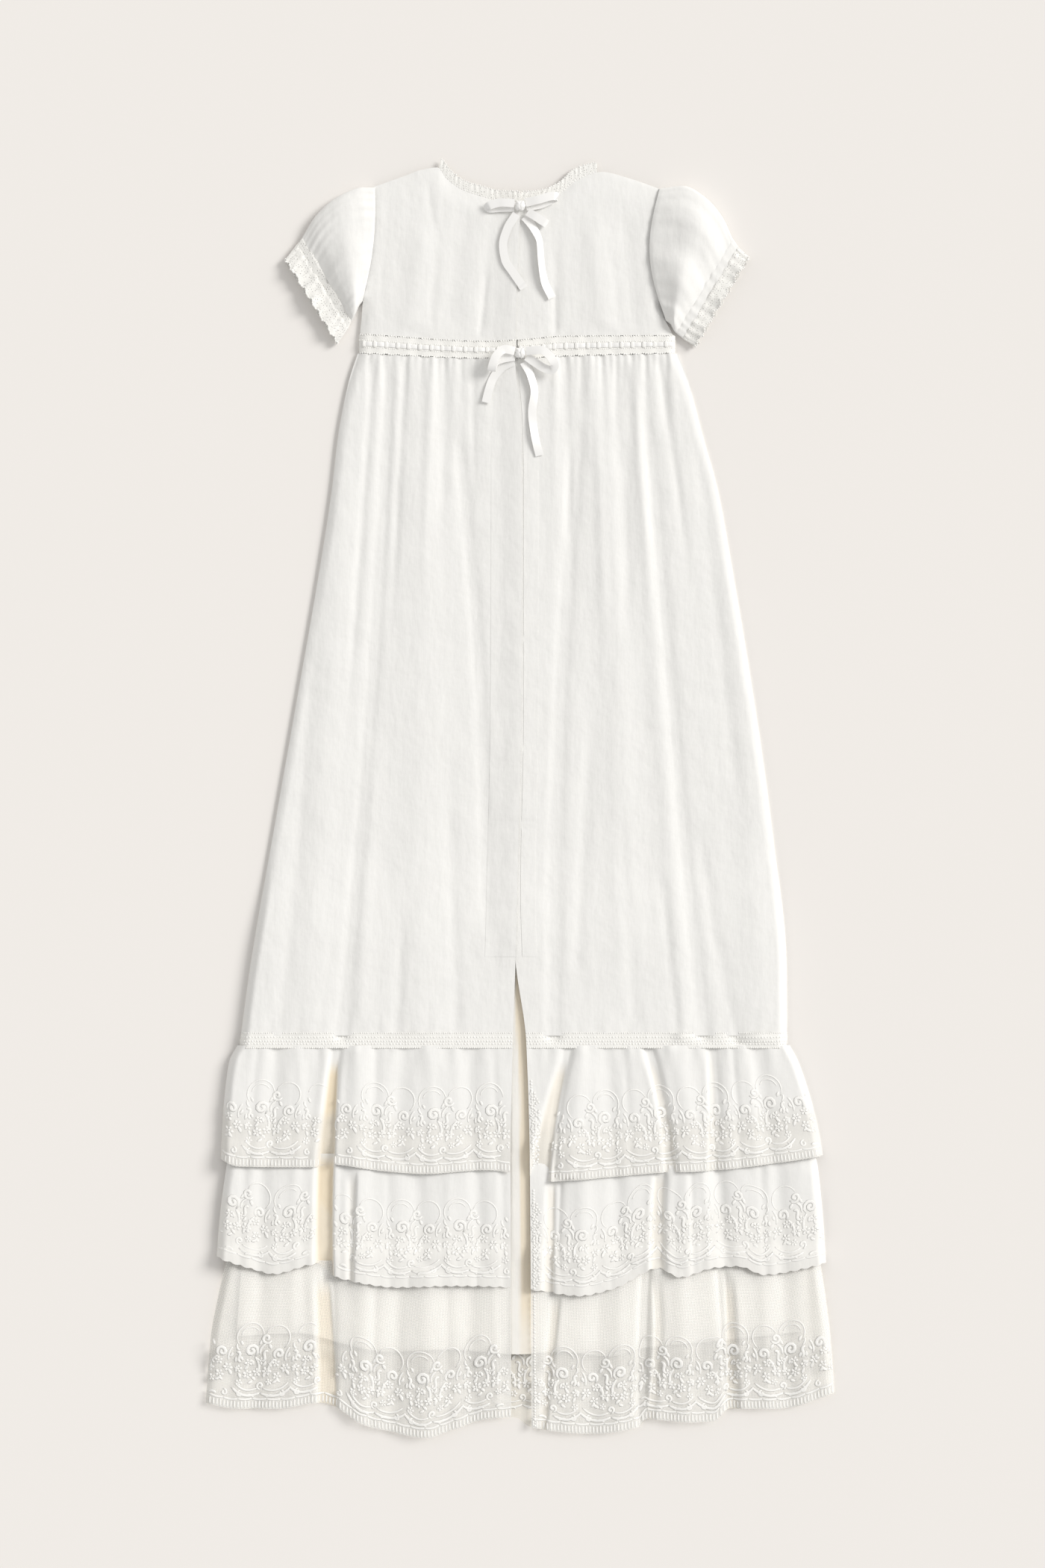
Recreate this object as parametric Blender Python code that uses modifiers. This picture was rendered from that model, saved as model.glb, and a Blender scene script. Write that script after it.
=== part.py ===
"""A baby's christening gown, laid flat on its front so that its back and its ties show.

Lengths are in millimetres until a mesh is made. X runs across the gown, Y runs from the hem up to the neck and
Z stands up from the surface that it rests on. A tier is a gathered flounce, a valley is a fold that dips, and
a ridge is one that stands up.
"""

import bmesh
import bpy
import numpy as np
from mathutils import Vector

MM = 0.001
MIDDLE = (-0.29, -0.21, 0.0)
WALL = 1.2
THIN_WALL = 1.0
SEAM = 0.4
REST_LIFT = 1.8
UNDER_FRONT = 3.3
UNDER_BACK = 4.9
OUTER_BACK = 6.6
SIDE_ROLL = 7.5
BODY_PUFF = 2.6
GATHERS = 9
PLACKET_COLUMNS = 3
LEFT_PLACKET = 23.8
RIGHT_PLACKET = 16.8
RIBBON = 6.0
RIBBON_THICK = 0.8

COTTON = (0.93, 0.915, 0.88)
LACE = (0.91, 0.89, 0.845)
NET = (0.89, 0.865, 0.81)
SATIN = (0.95, 0.94, 0.92)

# Sides of the skirt: y, left x, right x.
SKIRT_SIDES = (
    (343.9, -126.1, 121.5),
    (319.6, -134.3, 131.4),
    (283.0, -141.8, 141.2),
    (239.0, -147.0, 153.4),
    (178.6, -156.3, 164.4),
    (62.1, -176.6, 183.6),
    (-26.7, -192.3, 195.8),
    (-129.9, -210.2, 206.8),
    (-193.7, -218.9, 207.3),
)

# Sides of each tier: y, left x, right x.
TIER_SIDES = (
    (
        (-190.2, -218.9, 207.9),
        (-206.5, -227.1, 216.6),
        (-255.2, -232.3, 231.1),
        (-291.2, -234.0, 237.5),
    ),
    (
        (-276.7, -227.1, 228.8),
        (-286.5, -228.8, 231.1),
        (-320.2, -233.4, 234.6),
        (-366.6, -237.5, 238.1),
    ),
    (
        (-359.6, -228.8, 232.9),
        (-389.8, -235.8, 237.5),
        (-418.2, -241.0, 241.0),
        (-476.8, -245.6, 245.6),
    ),
)

# Where each tier is sewn on: y.
TIER_TOPS = (-192.6, -276.7, -359.6)

# Rows of each tier, as shares of its depth. The last three rise over the top of the tier below.
TIER_ROWS = ((0.0, 0.14, 0.42, 0.69, 0.83, 1.0), (0.0, 0.14, 0.38, 0.64, 0.77, 1.0), (0.0, 0.12, 0.30, 0.55, 0.78, 1.0))

# Hem of each tier: x, y.
TIER_HEMS = (
    (
        (-234.0, -280.7), (-218.9, -285.9), (-188.8, -286.5), (-157.5, -286.5),
        (-148.2, -284.2), (-107.6, -289.4), (-74.5, -291.7), (-25.8, -288.8),
        (1.4, -292.3), (21.8, -297.5), (71.6, -294.1), (112.2, -290.6),
        (146.4, -289.4), (202.1, -283.0), (236.9, -277.8),
    ),
    (
        (-237.5, -356.1), (-211.4, -364.2), (-191.7, -368.9), (-159.2, -361.3),
        (-144.7, -370.6), (-123.8, -375.8), (-97.7, -379.3), (-56.5, -378.2),
        (-7.8, -379.3), (8.4, -381.1), (45.5, -385.7), (71.6, -380.5),
        (107.0, -364.8), (123.8, -371.2), (149.9, -364.2), (169.6, -363.1),
        (188.8, -369.5), (238.1, -360.8),
    ),
    (
        (-245.6, -470.4), (-221.3, -475.0), (-188.8, -475.0), (-156.3, -470.4),
        (-144.7, -473.3), (-123.8, -486.6), (-100.6, -493.0), (-74.5, -497.6),
        (-51.9, -491.3), (-25.8, -483.1), (-4.3, -481.4), (8.4, -489.5),
        (55.4, -494.7), (91.3, -489.5), (97.7, -483.1), (130.2, -485.5),
        (149.9, -484.9), (162.7, -475.0), (202.1, -475.0), (245.6, -462.8),
    ),
)

# Hem of the underskirt: x, y.
UNDER_HEM = (
    (-230.5, -418.8), (-178.9, -416.4), (-143.5, -424.6), (-107.6, -430.9),
    (-58.3, -429.2), (-4.3, -432.7), (32.8, -430.9), (71.6, -434.4),
    (97.7, -428.0), (152.8, -422.8), (228.2, -414.7),
)

# Free edges down the middle of the back: y, x of the left half, x of the right half.
BACK_EDGES = (
    (471.0, 0.3, -3.2),
    (343.9, -4.3, -7.8),
    (295.2, -0.3, -4.3),
    (246.5, 0.9, -3.2),
    (65.5, 0.3, -3.2),
    (-70.8, -2.6, -5.5),
    (-121.2, -4.3, -2.6),
    (-189.1, -6.1, 4.3),
    (-286.5, -7.8, 7.2),
    (-497.6, -7.2, 8.4),
)

# Folds of the skirt: top y, bottom y, x at the top, middle and bottom, height, half width, fade in, fade out.
SKIRT_FOLDS = (
    (342.2, -193.7, -101.8, -116.9, -139.5, -3.6, 5.5, 0.03, 0.02),
    (294.6, -117.2, -50.2, -32.2, -27.0, -3.2, 5.0, 0.08, 0.12),
    (342.2, 178.6, -57.7, -59.4, -62.3, -2.2, 4.5, 0.03, 0.50),
    (213.4, -193.7, -156.3, -169.6, -188.8, -1.6, 6.0, 0.20, 0.05),
    (294.6, -193.7, -133.1, -149.3, -165.6, 2.6, 12.0, 0.15, 0.05),
    (294.6, -193.7, -79.8, -76.3, -79.8, 3.0, 16.0, 0.15, 0.05),
    (294.6, -193.7, 45.5, 29.9, 25.8, -3.8, 5.5, 0.05, 0.02),
    (68.4, -152.0, 54.8, 49.0, 43.2, -2.0, 5.0, 0.15, 0.15),
    (342.2, 97.4, 74.5, 80.3, 83.8, -2.2, 5.0, 0.05, 0.30),
    (317.8, -193.7, 97.7, 118.0, 143.0, -3.4, 5.5, 0.10, 0.02),
    (294.6, -18.6, 134.8, 153.4, 169.6, -1.8, 6.0, 0.15, 0.15),
    (-18.6, -193.7, 137.8, 151.1, 168.5, -2.2, 5.5, 0.20, 0.02),
    (294.6, -152.0, 66.4, 76.8, 81.5, 3.0, 11.0, 0.10, 0.10),
    (294.6, -193.7, 88.4, 109.3, 125.6, 2.2, 7.0, 0.10, 0.02),
    (213.4, -193.7, 153.4, 177.8, 184.7, 2.4, 12.0, 0.15, 0.02),
)

# Folds of each tier, in the same columns as the skirt's.
TIER_FOLDS = (
    (
        (-190.2, -297.0, -142.4, -147.6, -152.2, -4.2, 4.2, 0.02, 0.01),
        (-190.2, -297.0, 38.6, 28.1, 23.5, -4.2, 4.2, 0.02, 0.01),
        (-190.2, -297.0, 98.3, 111.1, 114.5, -4.2, 4.2, 0.02, 0.01),
        (-190.2, -297.0, 149.3, 152.2, 153.4, -2.8, 5.0, 0.02, 0.01),
        (-190.2, -297.0, -188.8, -192.3, -194.6, -1.6, 7.0, 0.05, 0.01),
        (-190.2, -297.0, -91.3, -93.7, -97.1, -1.8, 8.0, 0.05, 0.01),
        (-190.2, -297.0, -40.3, -39.1, -36.8, -1.6, 7.0, 0.05, 0.01),
        (-190.2, -297.0, 66.4, 69.9, 72.2, -1.5, 7.0, 0.05, 0.01),
        (-190.2, -297.0, 182.4, 190.5, 196.3, -1.6, 7.0, 0.05, 0.01),
        (-190.2, -297.0, -125.0, -127.3, -128.5, 2.0, 9.0, 0.05, 0.01),
        (-190.2, -297.0, 49.0, 43.2, 39.7, 1.8, 8.0, 0.05, 0.01),
        (-190.2, -297.0, 119.8, 129.0, 132.5, 1.8, 8.0, 0.05, 0.01),
    ),
    (
        (-276.7, -389.8, -151.7, -152.2, -151.1, -4.2, 4.8, 0.02, 0.01),
        (-276.7, -389.8, 29.3, 27.0, 25.8, -4.2, 4.2, 0.02, 0.01),
        (-276.7, -389.8, 110.5, 107.0, 111.1, -4.2, 4.4, 0.02, 0.01),
        (-276.7, -389.8, 152.2, 156.9, 162.7, -2.4, 6.0, 0.02, 0.01),
        (-276.7, -389.8, -200.4, -201.5, -203.9, -1.8, 7.0, 0.05, 0.01),
        (-276.7, -389.8, -79.8, -78.6, -76.3, -1.8, 8.0, 0.05, 0.01),
        (-276.7, -389.8, -33.3, -32.2, -29.9, -1.4, 6.0, 0.05, 0.01),
        (-276.7, -389.8, 74.5, 75.7, 79.2, -1.6, 7.0, 0.05, 0.01),
        (-276.7, -389.8, 198.6, 202.1, 205.6, -1.6, 7.0, 0.05, 0.01),
        (-276.7, -389.8, -126.1, -123.8, -120.3, 1.8, 9.0, 0.05, 0.01),
        (-276.7, -389.8, 49.0, 47.8, 46.7, 1.8, 8.0, 0.05, 0.01),
        (-276.7, -389.8, 127.9, 129.0, 131.4, 1.6, 8.0, 0.05, 0.01),
    ),
    (
        (-359.6, -500.0, -150.5, -147.6, -148.8, -4.2, 5.2, 0.02, 0.01),
        (-359.6, -500.0, 97.7, 94.8, 95.4, -3.8, 4.4, 0.02, 0.01),
        (-359.6, -500.0, 155.1, 160.4, 163.8, -3.8, 4.6, 0.02, 0.01),
        (-359.6, -500.0, 25.8, 22.3, 20.0, -1.8, 6.0, 0.02, 0.40),
        (-359.6, -500.0, -200.4, -205.0, -208.5, -1.8, 8.0, 0.05, 0.01),
        (-359.6, -500.0, -93.7, -97.1, -101.8, -1.6, 7.0, 0.05, 0.01),
        (-359.6, -500.0, -40.3, -39.1, -36.8, -1.8, 8.0, 0.05, 0.01),
        (-359.6, -500.0, 62.9, 59.4, 53.6, -1.4, 8.0, 0.05, 0.01),
        (-359.6, -500.0, 203.3, 206.8, 210.2, -1.8, 8.0, 0.05, 0.01),
        (-359.6, -500.0, -122.7, -122.7, -123.8, 1.8, 9.0, 0.05, 0.01),
        (-359.6, -500.0, -72.8, -72.8, -73.9, 2.0, 10.0, 0.05, 0.01),
        (-359.6, -500.0, 123.2, 126.7, 130.2, 1.8, 9.0, 0.05, 0.01),
    ),
)

# Creases of the back bodice, in the same columns.
BODICE_FOLDS = (
    (451.2, 360.8, -76.3, -79.8, -86.7, 1.2, 9.0, 0.25, 0.10),
    (462.8, 360.8, -44.9, -49.6, -56.5, -0.9, 8.0, 0.25, 0.15),
    (445.4, 360.8, 25.8, 27.0, 26.4, -0.9, 4.0, 0.40, 0.05),
    (445.4, 360.8, -24.6, -27.5, -30.4, -0.7, 4.0, 0.40, 0.05),
    (462.8, 360.8, 53.6, 59.4, 62.9, 1.1, 9.0, 0.25, 0.10),
    (462.8, 360.8, 81.5, 83.8, 88.4, -0.8, 7.0, 0.25, 0.10),
)

# Edges of the bodice's left half and right half: the side seam up from the waist, then the top from the middle out: x, y.
BODICE_LEFT_SEAM = ((-125.0, 360.8), (-123.8, 372.9))
BODICE_LEFT_TOP = (
    (0.3, 462.8), (-15.4, 464.0), (-30.4, 467.5), (-46.7, 473.3),
    (-57.7, 481.4), (-64.7, 490.1), (-76.3, 488.4), (-91.3, 483.1), (-114.0, 475.0),
)
BODICE_RIGHT_SEAM = ((118.6, 359.6), (116.3, 364.2))
BODICE_RIGHT_TOP = (
    (-3.2, 462.8), (14.2, 464.0), (30.4, 469.8), (44.4, 480.2),
    (62.9, 486.6), (85.0, 481.4), (108.2, 473.3),
)

# Outer edge of the neck lace: x, y.
NECK_LEFT = (
    (-0.3, 471.0), (-15.4, 471.5), (-29.9, 475.0), (-44.4, 479.7),
    (-55.4, 488.4), (-61.8, 497.6),
)
NECK_RIGHT = (
    (-0.3, 471.0), (11.9, 471.5), (28.7, 477.3), (42.0, 488.4), (59.4, 494.2),
)

# Waist lace: x, top y, bottom y.
WAIST_LACE = (
    (-126.1, 360.2, 345.7),
    (-24.6, 354.4, 341.6),
    (-0.3, 355.5, 341.6),
    (33.3, 358.4, 343.4),
    (120.3, 359.0, 345.7),
)

# Sections of each sleeve from armhole to cuff: place, top x and y, bottom x and y, height, gather, bow.
LEFT_SLEEVE = (
    (0.00, -114.5, 474.4, -123.2, 385.7, 6.5, 0.3, 3.5),
    (0.25, -123.8, 474.4, -126.1, 381.6, 15.0, 1.5, 2.6),
    (0.50, -142.4, 466.9, -127.9, 377.0, 19.0, 1.2, 1.5),
    (0.75, -159.2, 452.4, -129.6, 373.5, 16.0, 1.2, 0.5),
    (1.00, -169.6, 436.2, -131.4, 370.6, 9.0, 1.0, 0.0),
)
LEFT_CUFF_LACE = (
    (0.00, -170.2, 435.0, -131.9, 370.0, 9.0, 0.6, 0.0),
    (1.00, -174.3, 429.8, -134.3, 364.2, 7.5, 0.6, 0.0),
)
LEFT_FRILL = (
    (0.00, -174.9, 429.2, -134.8, 363.7, 7.5, 0.6, 0.0),
    (1.00, -183.0, 418.8, -142.4, 353.2, 10.0, 2.4, 0.0),
)
RIGHT_SLEEVE = (
    (0.00, 110.5, 473.9, 113.4, 370.6, 6.5, 0.3, -9.8),
    (0.25, 126.1, 475.6, 116.9, 367.7, 16.0, 2.2, -6.0),
    (0.50, 143.0, 466.9, 118.0, 365.4, 20.0, 2.6, -3.0),
    (0.75, 156.9, 451.2, 119.2, 363.1, 16.0, 2.2, -1.0),
    (1.00, 165.0, 434.4, 120.9, 361.3, 8.0, 1.2, 0.0),
)
RIGHT_CASING = (
    (0.00, 165.6, 433.8, 121.5, 360.8, 8.0, 0.5, 0.0),
    (1.00, 169.6, 428.0, 126.7, 356.7, 7.0, 0.5, 0.0),
)
RIGHT_FRILL = (
    (0.00, 170.2, 427.5, 127.3, 356.1, 7.0, 0.6, 0.0),
    (1.00, 177.2, 420.5, 135.4, 350.9, 10.0, 2.4, 0.0),
)

# Ribbons of the two bows: x, y, height over the cloth, turn of the width in degrees from level.
NECK_LOOP_LEFT = (
    (-4.9, 461.1, 3.4, 0), (-14.8, 461.7, 4.6, 0), (-24.1, 459.4, 4.2, 0),
    (-25.8, 458.2, 2.6, 0), (-23.5, 457.6, 1.0, 0), (-14.8, 458.2, 0.9, 0), (-4.9, 458.2, 1.2, 0),
)
NECK_LOOP_RIGHT = (
    (3.8, 461.7, 3.6, 0), (14.2, 464.0, 4.8, 0), (25.8, 466.9, 4.0, 0),
    (28.7, 466.3, 2.6, 0), (25.8, 465.2, 1.0, 0), (14.2, 460.5, 0.9, 0), (4.3, 458.8, 1.2, 0),
)
NECK_LOOP_SHORT = (
    (5.5, 454.7, 2.8, 0), (11.9, 450.7, 4.2, 0), (18.3, 446.6, 3.8, 0),
    (20.4, 445.3, 2.4, 0), (18.6, 446.4, 1.1, 0), (13.6, 449.5, 1.0, 0),
)
NECK_TAIL_LEFT = (
    (-3.2, 453.0, 1.2, 0), (-10.1, 442.0, 1.6, 0), (-13.6, 429.2, 1.6, 0),
    (-11.9, 417.6, 1.4, 0), (-5.5, 407.2, 1.2, 0), (2.6, 395.6, 1.0, 0),
)
NECK_TAIL_RIGHT = (
    (3.2, 451.2, 1.2, 0), (10.1, 442.0, 2.2, 20), (14.8, 430.9, 2.6, 40),
    (15.9, 416.4, 2.6, 40), (18.3, 401.4, 2.0, 30), (24.6, 388.0, 1.2, 10),
)
WAIST_LOOP_LEFT = (
    (-4.6, 346.3, 4.2, 0), (-11.9, 347.4, 6.4, 10), (-18.8, 342.2, 7.5, 10),
    (-21.8, 334.7, 7.0, 0), (-22.6, 330.6, 4.7, 0), (-22.0, 332.9, 2.6, 0),
    (-20.0, 337.6, 1.9, 0), (-14.2, 340.5, 1.9, 0), (-4.9, 342.2, 2.1, 0),
)
WAIST_LOOP_RIGHT = (
    (4.1, 346.3, 4.2, 0), (15.4, 346.8, 6.4, 10), (23.5, 341.0, 7.1, 10),
    (26.4, 334.7, 5.5, 0), (23.5, 331.2, 3.9, 0), (18.8, 332.9, 2.5, 0),
    (11.9, 337.0, 2.0, 0), (4.6, 342.2, 2.1, 0),
)
WAIST_TAIL_LEFT = (
    (-5.5, 338.7, 1.6, 0), (-14.2, 334.1, 1.2, 0), (-21.2, 326.0, 1.4, 0),
    (-24.6, 316.7, 2.3, 0), (-27.0, 306.8, 2.4, 0),
)
WAIST_TAIL_RIGHT = (
    (2.6, 338.1, 3.4, 0), (7.8, 327.7, 3.2, 25), (10.7, 314.9, 2.4, 25),
    (9.0, 299.3, 1.6, 5), (10.7, 283.0, 2.0, 20), (14.8, 265.6, 1.2, 0),
)


def clear_scene():
    for item in list(bpy.data.objects):
        bpy.data.objects.remove(item, do_unlink=True)


def ease(t):
    t = np.clip(t, 0.0, 1.0)
    return t * t * (3.0 - 2.0 * t)


def curve(at, places, values):
    """Values read off a smooth curve through a table's points."""
    places = np.asarray(places, float)
    values = np.asarray(values, float)
    if places[0] > places[-1]:
        places = places[::-1]
        values = values[::-1]
    at = np.clip(np.asarray(at, float), places[0], places[-1])
    step = np.diff(places)
    rise = np.diff(values) / step
    slope = np.empty(len(places))
    slope[0] = rise[0]
    slope[-1] = rise[-1]
    both = rise[:-1] * rise[1:]
    mean = 2.0 * both / np.where(both > 0.0, rise[:-1] + rise[1:], 1.0)
    slope[1:-1] = np.where(both > 0.0, mean, 0.0)
    index = np.clip(np.searchsorted(places, at, side="right") - 1, 0, len(step) - 1)
    h = step[index]
    t = (at - places[index]) / h
    start = values[index]
    end = values[index + 1]
    lead = slope[index] * h
    trail = slope[index + 1] * h
    bend = 2.0 * start - 2.0 * end + lead + trail
    sweep = -3.0 * start + 3.0 * end - 2.0 * lead - trail
    return ((bend * t + sweep) * t + lead) * t + start


def path(points, count):
    """Points spread evenly along a smooth line through the given ones."""
    points = np.asarray(points, float)
    reach = np.concatenate([[0.0], np.cumsum(np.linalg.norm(np.diff(points[:, :2], axis=0), axis=1))])
    if points.shape[1] > 2:
        reach = np.concatenate([[0.0], np.cumsum(np.linalg.norm(np.diff(points[:, :3], axis=0), axis=1))])
    at = np.linspace(0.0, reach[-1], count)
    return np.stack([curve(at, reach, points[:, k]) for k in range(points.shape[1])], axis=1)


def column(rows, k):
    return np.array([row[k] for row in rows])


def sides(rows, y):
    ys = column(rows, 0)
    return curve(y, ys, column(rows, 1)), curve(y, ys, column(rows, 2))


def back_edges(y):
    ys = column(BACK_EDGES, 0)
    return curve(y, ys, column(BACK_EDGES, 1)), curve(y, ys, column(BACK_EDGES, 2))


def folds(x, y, rows):
    """Height that a table of folds adds at each place."""
    total = np.zeros(np.broadcast(x, y).shape)
    for top, bottom, x0, x1, x2, height, width, fade_in, fade_out in rows:
        t = (y - top) / (bottom - top)
        near = np.clip(t, 0.0, 1.0)
        centre = x0 + (4.0 * x1 - 3.0 * x0 - x2) * near + (2.0 * x0 + 2.0 * x2 - 4.0 * x1) * near**2
        shown = ease(t / fade_in + 0.001) * ease((1.0 - t) / fade_out + 0.001)
        total = total + height * shown * np.exp(-(((x - centre) / width) ** 2))
    return total


def roll(x, left, right):
    """0 at a side seam and 1 from where the cloth has rolled over on to the back."""
    gap = np.minimum(x - left, right - x)
    t = np.clip(gap / SIDE_ROLL, 0.0, 1.0)
    return 1.0 - (1.0 - t) ** 2


def skirt_stack(y):
    """Height of the layers under the back of the skirt."""
    return REST_LIFT + (OUTER_BACK - REST_LIFT) * ease((-36.0 - y) / (-36.0 - -117.2))


def skirt_height(x, y, wave):
    """Underside of the back of the skirt."""
    left, right = sides(SKIRT_SIDES, y)
    edge = roll(x, left, right)
    swell = BODY_PUFF + folds(x, y, SKIRT_FOLDS)
    waist = 1.3 * (1.0 - ease((344.5 - y) / 110.2))
    hem = 0.7 * ease((-128.8 - y) / 55.1)
    swell = swell + (waist + hem) * wave
    stack = skirt_stack(y) - REST_LIFT
    return REST_LIFT + edge * (stack + np.maximum(swell, 0.15))


def tier_height(x, y, number):
    """Underside of one tier of the back."""
    left, right = sides(TIER_SIDES[number], y)
    edge = roll(x, left, right)
    top = TIER_TOPS[number]
    swell = np.maximum(BODY_PUFF + folds(x, y, TIER_FOLDS[number]), 0.15)
    if number:
        swell = swell * (0.1 + 0.9 * ease((top - y) / 13.9))
    floor = OUTER_BACK
    if number < 2:
        lower = TIER_TOPS[number + 1]
        near = ease((lower + 15.1 - y) / 12.8)
        below = np.maximum(BODY_PUFF + folds(x, np.minimum(y, lower - 0.5), TIER_FOLDS[number + 1]), 0.15)
        swell = np.maximum(swell, near * below * (0.1 + 0.9 * ease((lower - y) / 13.9 + 0.15)))
        floor = floor + 2.6 * near
    if number == 2:
        past = ease((-424.6 - y) / 27.8)
        floor = OUTER_BACK - (OUTER_BACK - REST_LIFT - 0.4) * past
    start = REST_LIFT
    if number:
        start = start + 1.8 * (1.0 - ease((top - y - 58.0) / 17.4))
    return start + edge * (floor - start + swell)


def bodice_height(x, y, u, v):
    """Underside of the back bodice, where u is 1 at the side and v is 1 at the shoulder."""
    side = 1.0 - (1.0 - np.clip((1.0 - u) / 0.10, 0.0, 1.0)) ** 2
    below_arm = 1.0 - ease((y - 382.8) / 8.1)
    side = 1.0 - below_arm * (1.0 - side)
    top = 1.0 - (1.0 - np.clip((1.0 - v) / 0.16, 0.0, 1.0)) ** 2
    swell = BODY_PUFF + 0.8 * np.sin(np.pi * np.clip(v, 0, 1)) + folds(x, y, BODICE_FOLDS)
    return REST_LIFT + side * (0.25 + 0.75 * top) * np.maximum(swell, 0.2)


def add_object(name, mesh, colour, rough):
    """A named object with its own cloth material."""
    item = bpy.data.objects.new(name, mesh)
    GOWN.objects.link(item)
    material = bpy.data.materials.new(name)
    material.use_nodes = True
    shader = material.node_tree.nodes["Principled BSDF"]
    shader.inputs["Base Color"].default_value = (*colour, 1.0)
    shader.inputs["Roughness"].default_value = rough
    mesh.materials.append(material)
    return item


def grid_surface(name, points, around=False):
    """An open surface through a grid of points. Around joins its last column to its first, as in a tube."""
    rows, columns = points.shape[:2]
    index = np.arange(rows * columns).reshape(rows, columns)
    if around:
        index = np.concatenate([index, index[:, :1]], axis=1)
    quads = np.stack([index[:-1, :-1], index[:-1, 1:], index[1:, 1:], index[1:, :-1]], axis=-1).reshape(-1, 4)
    mesh = bpy.data.meshes.new(name)
    mesh.from_pydata(((points.reshape(-1, 3) - MIDDLE) * MM).tolist(), [], quads.tolist())
    return mesh


def sheet(name, lower, upper, colour, rough=0.9):
    """A panel of cloth: its under surface, extruded up to its upper one."""
    mesh = grid_surface(name, lower)
    shape = bmesh.new()
    shape.from_mesh(mesh)
    place = shape.verts.layers.int.new("place")
    for vertex in shape.verts:
        vertex[place] = vertex.index
    raised = bmesh.ops.extrude_face_region(shape, geom=shape.faces[:])["geom"]
    heights = (upper - lower).reshape(-1, 3)
    for vertex in raised:
        if isinstance(vertex, bmesh.types.BMVert):
            vertex.co += Vector(heights[vertex[place]] * MM)
    bmesh.ops.recalc_face_normals(shape, faces=shape.faces[:])
    shape.to_mesh(mesh)
    shape.free()
    return add_object(name, mesh, colour, rough)


def walled(name, surface, wall, colour, rough=0.9, side=-1.0):
    """A surface with Solidify giving it its wall, inwards or to both sides."""
    shape = bmesh.new()
    shape.from_mesh(surface)
    bmesh.ops.recalc_face_normals(shape, faces=shape.faces[:])
    shape.to_mesh(surface)
    shape.free()
    item = add_object(name, surface, colour, rough)
    solidify = item.modifiers.new("Wall", "SOLIDIFY")
    solidify.thickness = wall * MM
    solidify.offset = side
    solidify.use_even_offset = side < 0.0
    return item


def lifted(x, y, z):
    return np.stack(np.broadcast_arrays(x, y, z), axis=-1).astype(float)


def columns_between(inner, outer, band, y, count):
    """X of each column: a band of fixed width along the free edge, then even columns out to the side."""
    way = np.sign(outer - inner)
    first = np.linspace(0.0, 1.0, PLACKET_COLUMNS + 1)[None, :] * (band * way)[:, None] + inner[:, None]
    rest = np.linspace(0.0, 1.0, count - PLACKET_COLUMNS + 1)[None, 1:]
    far = first[:, -1:] + rest * (outer - inner - band * way)[:, None]
    return np.concatenate([first, far], axis=1)


def gather_wave(count, gathers, shift):
    """Up and down of the gathers over a sheet's columns, none of them alike."""
    k = np.arange(count + 1) - PLACKET_COLUMNS
    per = (count - PLACKET_COLUMNS) / gathers
    size = 1.0 + 0.35 * np.sin(1.7 * k / per + shift) + 0.2 * np.sin(3.1 * k / per + 2.0 * shift)
    return np.where(k > 0, np.sin(2.0 * np.pi * k / per) * size, 0.0)


def skirt_rows():
    return np.array((341.2, 326.5, 294.6, 248.2, 178.6, 97.4, 16.2, -53.4, -117.2, -154.9,
                     -182.1))


def build_skirt():
    count = PLACKET_COLUMNS + 4 * GATHERS
    for side, name, band in ((0, "left", LEFT_PLACKET), (1, "right", RIGHT_PLACKET)):
        y = skirt_rows()
        outer = sides(SKIRT_SIDES, y)[side]
        inner = back_edges(y)[side]
        x = columns_between(inner, outer, np.full(len(y), band), y, count)
        yy = np.repeat(y[:, None], count + 1, axis=1)
        share = (yy - y[-1]) / (y[0] - y[-1])
        waist = waist_line(x[:1], 2) - SEAM
        yy = yy + (waist - y[0]) * ease((share - 0.8) / 0.2)
        z = skirt_height(x, yy, gather_wave(count, GATHERS, 0.6 + side)[None, :])
        if side == 0:
            z = z + overlap_lift(x, yy, inner[:, None])
        lower = lifted(x, yy, z)
        upper = lifted(x, yy, z + WALL)
        sheet("skirt_" + name, lower, upper, COTTON)
        rows = slice(3, 9)
        strip = slice(0, PLACKET_COLUMNS + 1)
        sheet(
            "placket_" + name,
            upper[rows, strip] + (0.0, 0.0, 0.35),
            upper[rows, strip] + (0.0, 0.0, 0.35 + 0.9),
            COTTON,
        ) if side == 0 else sheet(
            "placket_" + name,
            upper[rows, 1:PLACKET_COLUMNS + 1] + (0.6, 0.0, 0.35),
            upper[rows, 1:PLACKET_COLUMNS + 1] + (0.6, 0.0, 0.35 + 0.7),
            COTTON,
        )


def overlap_lift(x, y, inner):
    """Lift of the left half where it laps over the right."""
    near = ease(1.0 - (inner - x) / 19.7)
    return near * 1.9 * (1.0 - ease((-116.0 - y) / 34.8))


def waist_line(x, k):
    return curve(x, column(WAIST_LACE, 0), column(WAIST_LACE, k))


def build_front():
    """The half that the gown lies on, each piece flat on the surface."""
    y = np.linspace(341.0, -183.3, 7)
    left, right = sides(SKIRT_SIDES, y)
    u = np.linspace(0.0, 1.0, 13)[None, :]
    x = left[:, None] + (right - left)[:, None] * u
    yy = np.repeat(y[:, None], 13, axis=1)
    yy[0] = waist_line(x[0], 2) - SEAM
    sheet("skirt_front", lifted(x, yy, 0.0), lifted(x, yy, WALL), COTTON)
    y = np.array([-183.7, -192.2])
    left, right = sides(SKIRT_SIDES, y)
    x = left[:, None] + (right - left)[:, None] * u
    yy = np.repeat(y[:, None], 13, axis=1)
    sheet("lace_band_front", lifted(x, yy, 0.0), lifted(x, yy, WALL), LACE)
    for number in range(3):
        build_front_tier(number)
    build_front_bodice()


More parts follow.
